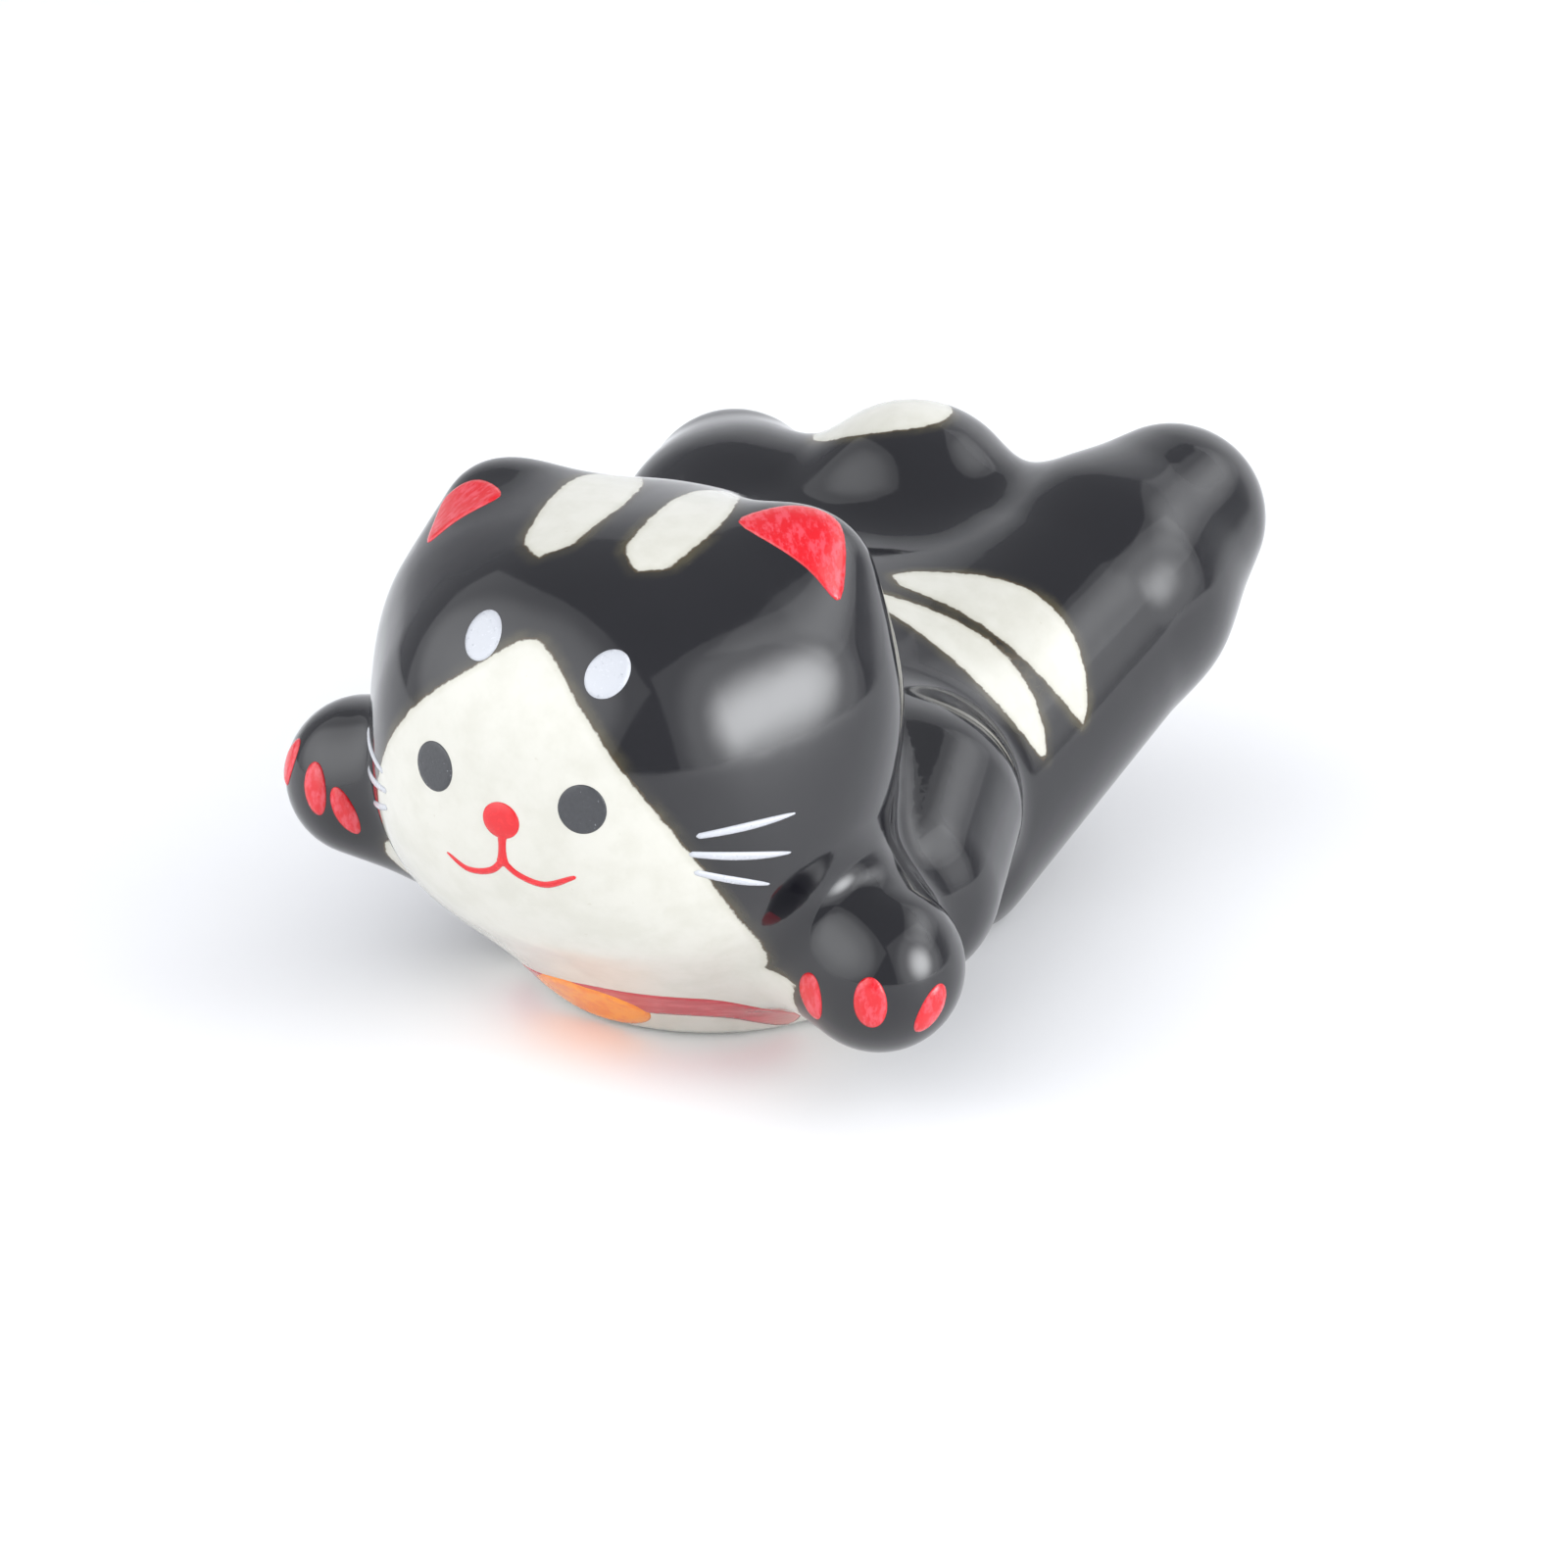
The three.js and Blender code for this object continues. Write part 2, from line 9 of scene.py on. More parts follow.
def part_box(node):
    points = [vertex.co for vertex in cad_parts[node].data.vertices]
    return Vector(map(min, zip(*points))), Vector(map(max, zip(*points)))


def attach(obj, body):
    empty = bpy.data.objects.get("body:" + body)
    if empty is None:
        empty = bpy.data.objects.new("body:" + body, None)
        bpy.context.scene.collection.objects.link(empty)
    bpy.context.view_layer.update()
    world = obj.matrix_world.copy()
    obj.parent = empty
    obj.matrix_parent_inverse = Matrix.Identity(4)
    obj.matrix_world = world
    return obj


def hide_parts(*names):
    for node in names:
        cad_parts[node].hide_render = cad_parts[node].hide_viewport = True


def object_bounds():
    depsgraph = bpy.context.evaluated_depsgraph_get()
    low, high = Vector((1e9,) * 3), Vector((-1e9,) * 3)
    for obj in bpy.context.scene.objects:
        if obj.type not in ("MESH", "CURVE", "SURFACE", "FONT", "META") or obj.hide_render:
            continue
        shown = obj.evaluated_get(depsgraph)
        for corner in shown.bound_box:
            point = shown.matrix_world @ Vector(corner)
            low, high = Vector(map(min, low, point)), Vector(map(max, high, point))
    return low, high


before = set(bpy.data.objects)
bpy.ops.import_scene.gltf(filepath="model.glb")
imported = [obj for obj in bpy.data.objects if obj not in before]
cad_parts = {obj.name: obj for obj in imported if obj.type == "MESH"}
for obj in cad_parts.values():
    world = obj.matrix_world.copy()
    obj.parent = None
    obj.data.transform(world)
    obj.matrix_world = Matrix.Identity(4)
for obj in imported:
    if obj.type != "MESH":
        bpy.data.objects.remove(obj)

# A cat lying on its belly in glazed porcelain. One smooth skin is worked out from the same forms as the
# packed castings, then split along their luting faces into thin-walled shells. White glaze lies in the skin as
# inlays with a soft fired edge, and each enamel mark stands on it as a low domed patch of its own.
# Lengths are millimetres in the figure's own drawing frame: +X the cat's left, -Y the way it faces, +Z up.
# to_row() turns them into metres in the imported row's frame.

CAD_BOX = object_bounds()
MM = 0.001


def point(*numbers):
    return np.array(numbers, float)


def unit(v):
    return v / np.linalg.norm(v, axis=-1, keepdims=True)


MIRROR = point(-1, 1, 1)

# ---------------------------------------------------------------- driving dimensions

SKULL = {"centre": point(0, -17.5, 17.6), "radii": point(12.9, 13.9, 12), "squareness": 2.24}
CHEEK = {"centre": point(5.6, -18.4, 13.9), "radius": 6.8}
EAR = {"base": point(7, -17.4, 21), "base_radius": 6.5, "tip": point(8.7, -15.7, 26.3), "tip_radius": 3.3}
EAR_DEPTH = 0.8
CHEST = {"centre": point(0, -11.2, 8.6), "radii": point(10.5, 10.8, 8.1)}
TRUNK = {"front": point(0, -7.7, 6.4), "front_radius": 11.5, "back": point(0, 13.7, 8.4), "back_radius": 10.5}
TAIL = {"base": point(0, 18, 12), "tip": point(-1, 20.9, 17.3), "radius": 7}
UPPER_ARM = {"front": point(11.2, -9.3, 7.6), "back": point(10.2, -4, 9.6), "radius": 5.9}
SHOULDERS = {"left": point(8.9, -15.1, 8), "right": point(-9.3, -14.5, 9.1), "radius": 4.8}
FOREPAWS = {"left": point(14.9, -19.4, 7.5), "right": point(-16.4, -17.3, 11.2), "radius": 4.4}
HIPS = {"left": point(5.7, 4.1, 6.2), "right": point(-5.7, 4.1, 6.2), "radius": 9.1}
HOCKS = {"left": point(11.5, 20.7, 14.9), "right": point(-11.8, 19.9, 13.5), "radius": 7.8}
HIND_FEET = {"left": point(13.8, 25.6, 18.1), "right": point(-14.2, 23.9, 15.3), "radius": 5.7}
BLEND = {
    "cheeks": 4.5, "ears": 4, "chest": 5, "legs": 4, "foot": 1,
    "tail": 3.5, "upper_arms": 2.5, "arms": 3, "base": 0.8,
}
# The neck is a sharp crease behind and beside the head, and widens to a soft one under the chin.
NECK_BLEND = {"narrow": 1.8, "wide": 5, "widening_from": 14, "widening_to": 19}

SKIN_STEP = 0.5
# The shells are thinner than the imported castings, which are 3 mm thick or solid. Only the vent shows inside.
WALL = 1.5
INLAY_DEPTH = 0.25
VENT = {"y": 2.5, "radius": 1.5}

# ---------------------------------------------------------------- the skin, as a distance field


def soft_min(a, b, width):
    h = np.clip(0.5 + 0.5 * (b - a) / width, 0, 1)
    return b + (a - b) * h - width * h * (1 - h)


def ball(p, centre, radius):
    return np.linalg.norm(p - centre, axis=1) - radius


def rounded_block(p, centre, radii, power=2):
    q = np.abs(p - centre) / radii
    size = (q**power).sum(1) ** (1 / power)
    slope = np.linalg.norm((q / size[:, None]) ** (power - 1) / radii, axis=1)
    return (size - 1) / slope


def tapered_limb(p, a, radius_a, b, radius_b):
    length = np.linalg.norm(b - a)
    along = (p - a) @ (b - a) / length
    across = np.sqrt(np.maximum(((p - a) ** 2).sum(1) - along**2, 0))
    taper = (radius_a - radius_b) / length
    lean = across * taper / math.sqrt(1 - taper**2)
    t = np.clip((along - lean) / length, 0, 1)
    return np.hypot(along - t * length, across) - radius_a - (radius_b - radius_a) * t


def ear_form(p):
    flatten = point(1, 1 / EAR_DEPTH, 1)
    base, tip = EAR["base"] * flatten, EAR["tip"] * flatten
    return EAR_DEPTH * tapered_limb(p * flatten, base, EAR["base_radius"], tip, EAR["tip_radius"])


def head_form(p):
    skull = rounded_block(p, SKULL["centre"], SKULL["radii"], SKULL["squareness"])
    cheeks = [ball(p, CHEEK["centre"] * side, CHEEK["radius"]) for side in (1, MIRROR)]
    face = soft_min(skull, np.minimum(*cheeks), BLEND["cheeks"])
    return soft_min(face, np.minimum(ear_form(p), ear_form(p * MIRROR)), BLEND["ears"])


def limb_between(p, ends_a, ends_b, side):
    return tapered_limb(p, ends_a[side], ends_a["radius"], ends_b[side], ends_b["radius"])


def upper_arm_form(p):
    return tapered_limb(p, UPPER_ARM["front"], UPPER_ARM["radius"], UPPER_ARM["back"], UPPER_ARM["radius"])


def body_form(p):
    chest = rounded_block(p, CHEST["centre"], CHEST["radii"])
    trunk = tapered_limb(p, TRUNK["front"], TRUNK["front_radius"], TRUNK["back"], TRUNK["back_radius"])
    form = soft_min(chest, trunk, BLEND["chest"])
    for side in ("left", "right"):
        thigh = limb_between(p, HIPS, HOCKS, side)
        foot = limb_between(p, HOCKS, HIND_FEET, side)
        form = soft_min(form, soft_min(thigh, foot, BLEND["foot"]), BLEND["legs"])
    tail = tapered_limb(p, TAIL["base"], TAIL["radius"], TAIL["tip"], TAIL["radius"])
    form = soft_min(form, tail, BLEND["tail"])
    return soft_min(form, np.minimum(upper_arm_form(p), upper_arm_form(p * MIRROR)), BLEND["upper_arms"])


def skin(p):
    """How far points lie outside the figure's skin. It is negative inside."""
    arms = [limb_between(p, SHOULDERS, FOREPAWS, side) for side in ("left", "right")]
    span = NECK_BLEND["widening_to"] - NECK_BLEND["widening_from"]
    t = np.clip((-p[:, 1] - NECK_BLEND["widening_from"]) / span, 0, 1)
    neck_width = NECK_BLEND["narrow"] + (NECK_BLEND["wide"] - NECK_BLEND["narrow"]) * t * t * (3 - 2 * t)
    whole = soft_min(soft_min(head_form(p), body_form(p), neck_width), np.minimum(*arms), BLEND["arms"])
    return -soft_min(-whole, p[:, 2], BLEND["base"])


def slope_of(p):
    step = 0.02
    return np.stack([skin(p + e) - skin(p - e) for e in step * np.eye(3)], 1) / (2 * step)


def outward(p):
    return unit(slope_of(p))


def settle(p, level=0.0, rounds=2):
    """Moves points straight to the surface that lies this far outside the skin."""
    for _ in range(rounds):
        slope = slope_of(p)
        p = p - slope * ((skin(p) - level) / (slope**2).sum(1))[:, None]
    return p


def landing(start, way):
    """Where straight lines from outside first meet the skin."""
    p = start.copy()
    way = np.broadcast_to(way, p.shape)
    moving = np.arange(len(p))
    for _ in range(80):
        gap = skin(p[moving])
        p[moving] += way[moving] * np.minimum(0.9 * gap, 4)[:, None]
        moving = moving[gap > 1e-4]
    return p


# ---------------------------------------------------------------- charts to draw on the skin

REACH = 40
FAR_OUTSIDE = 3


class FlatChart:
    """Drawing axes seen from outside: x to the right, y up, and depth towards the eye."""

    def __init__(self, origin, out, up=(0, 0, 1)):
        out = unit(point(*out))
        right = unit(np.cross(up, out))
        self.origin = origin
        self.axes = np.stack([right, np.cross(out, right), out])

    def flatten(self, p):
        return (p - self.origin) @ self.axes.T

    def lift(self, drawn):
        start = self.origin + drawn @ self.axes[:2] + REACH * self.axes[2]
        return landing(start, -self.axes[2])


class RoundChart:
    """Drawing axes wrapped about an upright line: x round it from straight ahead, and y the height."""

    def __init__(self, centre, radius):
        self.centre = centre
        self.radius = radius

    def flatten(self, p):
        x, y = p[:, 0] - self.centre[0], p[:, 1] - self.centre[1]
        return np.stack([self.radius * np.arctan2(x, -y), p[:, 2], np.hypot(x, y)], 1)

    def lift(self, drawn):
        turn = drawn[:, 0] / self.radius
        way = np.stack([np.sin(turn), -np.cos(turn), 0 * turn], 1)
        x, y = [self.centre[i] + REACH * way[:, i] for i in range(2)]
        start = np.column_stack([x, y, drawn[:, 1]])
        return landing(start, -way)


def chart_on(start, way, up=(0, 0, 1)):
    """A flat chart where a line from outside meets the skin, square to the skin there."""
    place = landing(start[None, :], unit(point(*way))[None, :])
    return FlatChart(place[0], outward(place)[0], up)


def smooth_loop(corners, steps=5):
    """A closed smooth curve through these points."""
    here = np.array(corners, float)
    before, after, beyond = [np.roll(here, turn, 0) for turn in (1, -1, -2)]
    t = (np.arange(steps) / steps)[:, None, None]
    bend = (after - before) * t + (2 * before - 5 * here + 4 * after - beyond) * t**2
    curve = here + 0.5 * (bend + (3 * here - before - 3 * after + beyond) * t**3)
    return curve.transpose(1, 0, 2).reshape(-1, 2)


def oval(x, y, half_width, half_height, lean=0.0, count=40):
    turn = np.linspace(0, 2 * math.pi, count, endpoint=False)
    drawn = np.stack([half_width * np.cos(turn), half_height * np.sin(turn)], 1)
    c, s = math.cos(math.radians(lean)), math.sin(math.radians(lean))
    return drawn @ np.array([[c, s], [-s, c]]) + (x, y)


def brush_stroke(points, width, start_width, end_width):
    """The outline of a stroke through these points, with its own width in the middle and at each end."""
    nodes = np.array(points, float)
    spread = np.linspace(0, len(nodes) - 1, 6 * len(nodes))
    padded = np.vstack([2 * nodes[0] - nodes[1], nodes, 2 * nodes[-1] - nodes[-2]])
    first = np.minimum(spread.astype(int), len(nodes) - 2)
    t = (spread - first)[:, None]
    a, b, c, d = [padded[first + i] for i in range(4)]
    line = b + 0.5 * ((c - a) * t + (2 * a - 5 * b + 4 * c - d) * t**2 + (3 * b - a - 3 * c + d) * t**3)
    share = spread / spread[-1]
    ends = start_width + (end_width - start_width) * share
    half = (ends + (width - ends) * np.sin(math.pi * share) ** 0.7) / 2
    along = unit(np.gradient(line, axis=0))
    side = np.stack([-along[:, 1], along[:, 0]], 1) * half[:, None]
    tips = [line[0] - along[0] * half[0] * 0.8], [line[-1] + along[-1] * half[-1] * 0.8]
    return np.vstack([tips[0], line - side, tips[1], (line + side)[::-1]])


def nearest_on_loop(points, loop):
    """Each point's distance to a closed line, and the nearest point on it, in 2 or 3 dimensions."""
    best = np.full(len(points), np.inf)
    nearest = np.zeros_like(points)
    for a, b in zip(loop, np.roll(loop, -1, 0)):
        edge = b - a
        t = np.clip((points - a) @ edge / max(edge @ edge, 1e-12), 0, 1)
        foot = a + t[:, None] * edge
        away = np.linalg.norm(points - foot, axis=1)
        closer = away < best
        best = np.where(closer, away, best)
        nearest[closer] = foot[closer]
    return best, nearest


def is_inside(points, loop):
    inside = np.zeros(len(points), bool)
    for a, b in zip(loop, np.roll(loop, -1, 0)):
        if a[1] == b[1]:
            continue
        crosses = (a[1] > points[:, 1]) != (b[1] > points[:, 1])
        cut = a[0] + (points[:, 1] - a[1]) * (b[0] - a[0]) / (b[1] - a[1])
        inside ^= crosses & (points[:, 0] < cut)
    return inside


# ---------------------------------------------------------------- white areas

ABOVE = (0, 0, 1)
FORWARD = (0, -1, 0)
CROWN_CHART = FlatChart(point(0, 0, 27), ABOVE, up=(0, 1, 0))
TAIL_CHART = FlatChart(point(0, 0, 20), ABOVE, up=(0, 1, 0))
FRONT_CHART = FlatChart(point(0, 0, 0), FORWARD)
FACE_CHART = RoundChart(SKULL["centre"], radius=13)
FLANK_LEAN = point(0.62, 0, 0.78)
FLANK_CHARTS = {"left": FlatChart(point(0, 0, 0), FLANK_LEAN, up=(0, 1, 0))}
FLANK_CHARTS["right"] = FlatChart(point(0, 0, 0), FLANK_LEAN * MIRROR, up=(0, 1, 0))

# The mask is a pointed arch: a blunt tip between the brow dots, straight sides, then out over both cheeks and
# down under the chin, where it meets the white chest. It reaches further round on the cat's right.
MASK = [
    (0, 25.6), (3, 23.5), (8, 16.8), (11, 12.2), (14.3, 7.8), (12, 4.4),
    (0, 3), (-12, 4.5), (-17, 9), (-12, 11.2), (-9.8, 16), (-6.5, 20.9), (-3, 24),
]
# The white chest, seen from the front, runs under the chin from arm to arm and down to the ground.
CHEST_WHITE = [
    (10.6, 7.5), (11.4, 5.8), (9.8, -1.6), (-9.8, -1.6),
    (-11.2, 5), (-13.4, 8.8), (-10, 10.2), (0, 9),
]
# Each stripe is one brush stroke: the line it follows, its width in the middle, and its widths at both ends.
# A crown stripe runs from the brow back over the crown, and a flank stripe from beside the spine to the side.
CROWN_STRIPES = {
    "left": ([(3.3, -23.2), (3.5, -18.5), (2.8, -12.9)], 3.5, 2.4, 0.9),
    "right": ([(-2, -23.6), (-2.2, -18.5), (-2.9, -12.9)], 4.0, 2.6, 1.0),
}
FLANK_STRIPES = {
    "front": ([(-8.6, 4.4), (-4, 4.2), (0.5, 4), (5, 4)], 2.6, 1.0, 0.15),
    "rear": ([(-8, 7.3), (-4.5, 7.8), (0.5, 7.5), (5, 7.3)], 3.5, 1.8, 0.15),
}
TAIL_TIP = {"x": -3.1, "y": 20.9, "half_width": 4.5, "half_height": 3.5, "lean": -12}


def mirrored_for(side, corners):
    return [(-x, y) for x, y in corners] if side == "right" else corners


def stripe_for(side, line, *widths):
    return brush_stroke(mirrored_for(side, line), *widths)


def white_areas():
    """Each area's name, the casting its inlay lies in, its chart, its outline, and its least depth."""
    areas = [
        ("white_face_mask", "head", FACE_CHART, smooth_loop(MASK), 4),
        ("chest", None, FRONT_CHART, smooth_loop(CHEST_WHITE), 13),
    ]
    for side, stripe in CROWN_STRIPES.items():
        areas.append((f"{side}_crown_stripe", "head", CROWN_CHART, brush_stroke(*stripe), -6))
    for side in ("left", "right"):
        for place, stripe in FLANK_STRIPES.items():
            outline = stripe_for(side, *stripe)
            areas.append((f"{side}_{place}_flank_stripe", "torso", FLANK_CHARTS[side], outline, 6))
    areas.append(("white_tail_tip", "tail", TAIL_CHART, oval(**TAIL_TIP), -5))
    return areas


def depth_inside(p, area):
    """How far points lie inside a white area along the skin. It is negative outside."""
    _, _, chart, loop, least_depth = area
    edge = chart.lift(loop)
    near = ((p > edge.min(0) - FAR_OUTSIDE) & (p < edge.max(0) + FAR_OUTSIDE)).all(1)
    depth = np.full(len(p), -float(FAR_OUTSIDE))
    drawn = chart.flatten(p[near])
    inside = is_inside(drawn[:, :2], loop) & (drawn[:, 2] > least_depth)
    away, _ = nearest_on_loop(p[near], edge)
    depth[near] = np.where(inside, away, -away)
    return depth


def whiteness(p):
    """How far points lie inside the nearest white area."""
    return np.max([depth_inside(p, area) for area in AREAS], 0)


# ---------------------------------------------------------------- the skin mesh


def surface_net(inside, low, step):
    """One point in each grid cell that the skin crosses, and one quad round each grid edge it crosses."""
    cells = tuple(slice(n - 1) for n in inside.shape)
    corners = [inside[i:, j:, k:][cells] for i, j, k in np.ndindex(2, 2, 2)]
    filled = sum(corner.astype(int) for corner in corners)
    crossed = (filled > 0) & (filled < 8)
    number = np.full(crossed.shape, -1)
    number[crossed] = np.arange(crossed.sum())
    points = low + step * (np.argwhere(crossed) + 0.5)
    quads = []
    for axis in range(3):
        across, up = (axis + 1) % 3, (axis + 2) % 3
        count = inside.shape[axis]
        first = inside.take(range(count - 1), axis)
        edge = np.argwhere(first != inside.take(range(1, count), axis))
        ring = []
        for shift_across, shift_up in ((0, 0), (-1, 0), (-1, -1), (0, -1)):
            cell = edge.copy()
            cell[:, across] += shift_across
            cell[:, up] += shift_up
            ring.append(number[tuple(cell.T)])
        ring = np.stack(ring, 1)
        faces_back = ~first[tuple(edge.T)]
        ring[faces_back] = ring[faces_back][:, ::-1]
        quads.append(ring)
    return points, np.vstack(quads)


def spread_evenly(points, quads, rounds=5):
    ends = np.vstack([quads[:, [i, (i + 1) % 4]] for i in range(4)])
    ends = np.vstack([ends, ends[:, ::-1]])
    degree = np.bincount(ends[:, 0], minlength=len(points))[:, None]
    for _ in range(rounds):
        sums = [np.bincount(ends[:, 0], points[ends[:, 1], i], len(points)) for i in range(3)]
        points = settle(np.stack(sums, 1) / degree)
    return points


def skin_mesh():
    # The room round the figure's furthest forms, where no part of the skin lies.
    low, high = point(-23.5, -33.5, -1.2), point(23.5, 34, 32)
    count = np.ceil((high - low) / SKIN_STEP).astype(int)
    lines = [low[i] + SKIN_STEP * np.arange(count[i]) for i in range(3)]
    grid = np.stack(np.meshgrid(*lines, indexing="ij"), -1)
    inside = skin(grid.reshape(-1, 3)).reshape(count) < 0
    points, quads = surface_net(inside, low, SKIN_STEP)
    return spread_evenly(settle(points, rounds=4), quads), quads


# ---------------------------------------------------------------- castings

# Each luting plane, a point on it and a normal, faces the smaller of the two castings that meet there.
NECK_PLANE = (point(0, -14.7, 11.8), point(0, -0.51, 0.86))
EAR_PLANE = (point(9.2, -16.4, 26.4), point(0.74, -0.15, 0.65))
LEFT_ARM_PLANE = (point(11.8, -16.8, 7.8), point(0.8, -0.2, -0.56))
RIGHT_ARM_PLANE = (point(-12.7, -16, 9.9), point(-0.9, -0.15, -0.4))
ELBOW_PLANE = (point(0, -14.4, 8), point(0, -1, 0))
RUMP_PLANE = (point(0, 13, 12), point(0, 0.85, 0.53))
LEG_PLANE = (point(6.6, 20, 14), point(1, 0, 0))
TAIL_PLANE = (point(0, 17, 14), point(0, 0.7, 0.71))


def mirrored(plane):
    return plane[0] * MIRROR, plane[1] * MIRROR


# In this order each casting takes what its planes leave of the skin, less the castings before it.
CASTINGS = {
    "left_ear": [EAR_PLANE],
    "right_ear": [mirrored(EAR_PLANE)],
    "left_foreleg": [LEFT_ARM_PLANE, ELBOW_PLANE],
    "right_foreleg": [RIGHT_ARM_PLANE, ELBOW_PLANE],
    "left_hind_leg": [RUMP_PLANE, LEG_PLANE],
    "right_hind_leg": [RUMP_PLANE, mirrored(LEG_PLANE)],
    "tail": [TAIL_PLANE],
    "head": [NECK_PLANE],
    "torso": [],
}


def split_into_castings(points, quads):
    """Cuts the skin along the luting planes. Returns its points, its faces and each face's casting."""
    mesh = bpy.data.meshes.new("skin")
    mesh.from_pydata(points.tolist(), [], quads.tolist())
    cut = bmesh.new()
    cut.from_mesh(mesh)
    bpy.data.meshes.remove(mesh)
    owner = cut.faces.layers.int.new("owner")
    for number, planes in enumerate(CASTINGS.values(), 1):
        own = [face for face in cut.faces if face[owner] == 0]
        for place, normal in planes:
            place, normal = Vector(place), Vector(normal)
            near = [f for f in own if min(abs((v.co - place).dot(normal)) for v in f.verts) < 2 * SKIN_STEP]
            pieces = set(near) | {e for f in near for e in f.edges} | {v for f in near for v in f.verts}
            made = bmesh.ops.bisect_plane(cut, geom=list(pieces), plane_co=place, plane_no=normal, dist=1e-4)
            cut_faces = {item for item in made["geom"] if isinstance(item, bmesh.types.BMFace)}
            own = {f for f in own if f.is_valid} | cut_faces
            own = [f for f in own if (f.calc_center_median() - place).dot(normal) > 0]
        for face in own:
            face[owner] = number
    cut.verts.index_update()
    places = np.array([v.co for v in cut.verts], float)
    faces = [[v.index for v in f.verts] for f in cut.faces]
    owners = np.array([f[owner] for f in cut.faces]) - 1
    cut.free()
    return settle(places, rounds=1), faces, owners


def open_vent(places, faces, owners):
    """Leaves out the faces over the casting vent in the flat belly, and rounds its edge."""
    from_vent = places - point(0, VENT["y"], 0)
    reach = np.hypot(from_vent[:, 0], from_vent[:, 1])
    below = places[:, 2] < BLEND["base"]
    over = [all(below[v] and reach[v] < VENT["radius"] for v in face) for face in faces]
    kept = [face for face, gone in zip(faces, over) if not gone]
    rim = {v for face, gone in zip(faces, over) if gone for v in face} & {v for face in kept for v in face}
    rim = sorted(rim)
    places[rim, :2] = point(0, VENT["y"]) + from_vent[rim, :2] * (VENT["radius"] / reach[rim])[:, None]
    return kept, owners[~np.array(over)]


def cut_along(places, faces, owners, inlay, number, casting):
    """Cuts a casting's faces along a white area's outline, and gives what lies inside to its inlay."""
    depth = depth_inside(places, AREAS[number])
    depth[np.abs(depth) < 0.1 * SKIN_STEP] = 0
    new_places, cut_at = [], {}
    result = []
    for face, owner, old in zip(faces, owners, inlay):
        signs = depth[face] > 0
        if owner != casting or not signs.any():
            result.append((face, owner, old))
            continue
        parts = [], []
        for i, here in enumerate(face):
            after = face[(i + 1) % len(face)]
            parts[depth[here] > 0].append(here)
            if depth[here] == 0:
                parts[1].append(here)
            if depth[here] * depth[after] < 0:
                key = min(here, after), max(here, after)
                if key not in cut_at:
                    share = depth[here] / (depth[here] - depth[after])
                    cut_at[key] = len(places) + len(new_places)
                    new_places.append(places[here] + share * (places[after] - places[here]))
                parts[0].append(cut_at[key])
                parts[1].append(cut_at[key])
        for part, mark in zip(parts, (old, number)):
            lies_outside = any(depth[v] < 0 for v in part if v < len(depth))
            if len(part) > 2 and (mark != old or lies_outside):
                result.append((part, owner, mark))
    if new_places:
        places = np.vstack([places, settle(np.array(new_places))])
    faces, owners, inlay = [list(column) for column in zip(*result)]
    return places, faces, owners, inlay


def mark_inlays(places, faces, owners):
    """Gives each face its inlay number or -1, with the inlays' edges cut exactly on the outlines."""
    inlay = [-1] * len(faces)
    names = list(CASTINGS)
    for number, area in enumerate(AREAS):
        if area[1]:
            casting = names.index(area[1])
            places, faces, owners, inlay = cut_along(places, faces, owners, inlay, number, casting)
    return places, faces, owners, inlay


def inner_points(count, faces, inlay):
    """Which points have the same inlay all round them."""
    corners = np.array([corner for face in faces for corner in face])
    values = np.repeat(inlay, [len(face) for face in faces])
    least, most = np.full(count, len(AREAS)), np.full(count, -1)
    np.minimum.at(least, corners, values)
    np.maximum.at(most, corners, values)
    return (least == most) & (least >= 0)


# ---------------------------------------------------------------- meshes


def to_row(places):
    return (places + ROW_SHIFT) * MM


def add_piece(name, places, faces, normals=None, attributes=None):
    mesh = bpy.data.meshes.new(name)
    mesh.from_pydata(to_row(places).tolist(), [], faces)
    for key, values in (attributes or {}).items():
        layer = mesh.attributes.new(key, "FLOAT" if values.ndim == 1 else "FLOAT_VECTOR", "POINT")
        layer.data.foreach_set("value" if values.ndim == 1 else "vector", values.astype(np.float32).ravel())
    mesh.shade_smooth()
    if normals is not None:
        mesh.normals_split_custom_set(normals)
    piece = bpy.data.objects.new(name, mesh)
    bpy.context.scene.collection.objects.link(piece)
    return piece


def open_edges(faces):
    """The directed edges that only one face has."""
    edges = {(a, b) for face in faces for a, b in zip(face, face[1:] + face[:1])}
    return [(a, b) for a, b in edges if (b, a) not in edges]


def renumbered(faces):
    used = sorted({v for face in faces for v in face})
    number = {v: i for i, v in enumerate(used)}
    return np.array(used), [[number[v] for v in face] for face in faces]


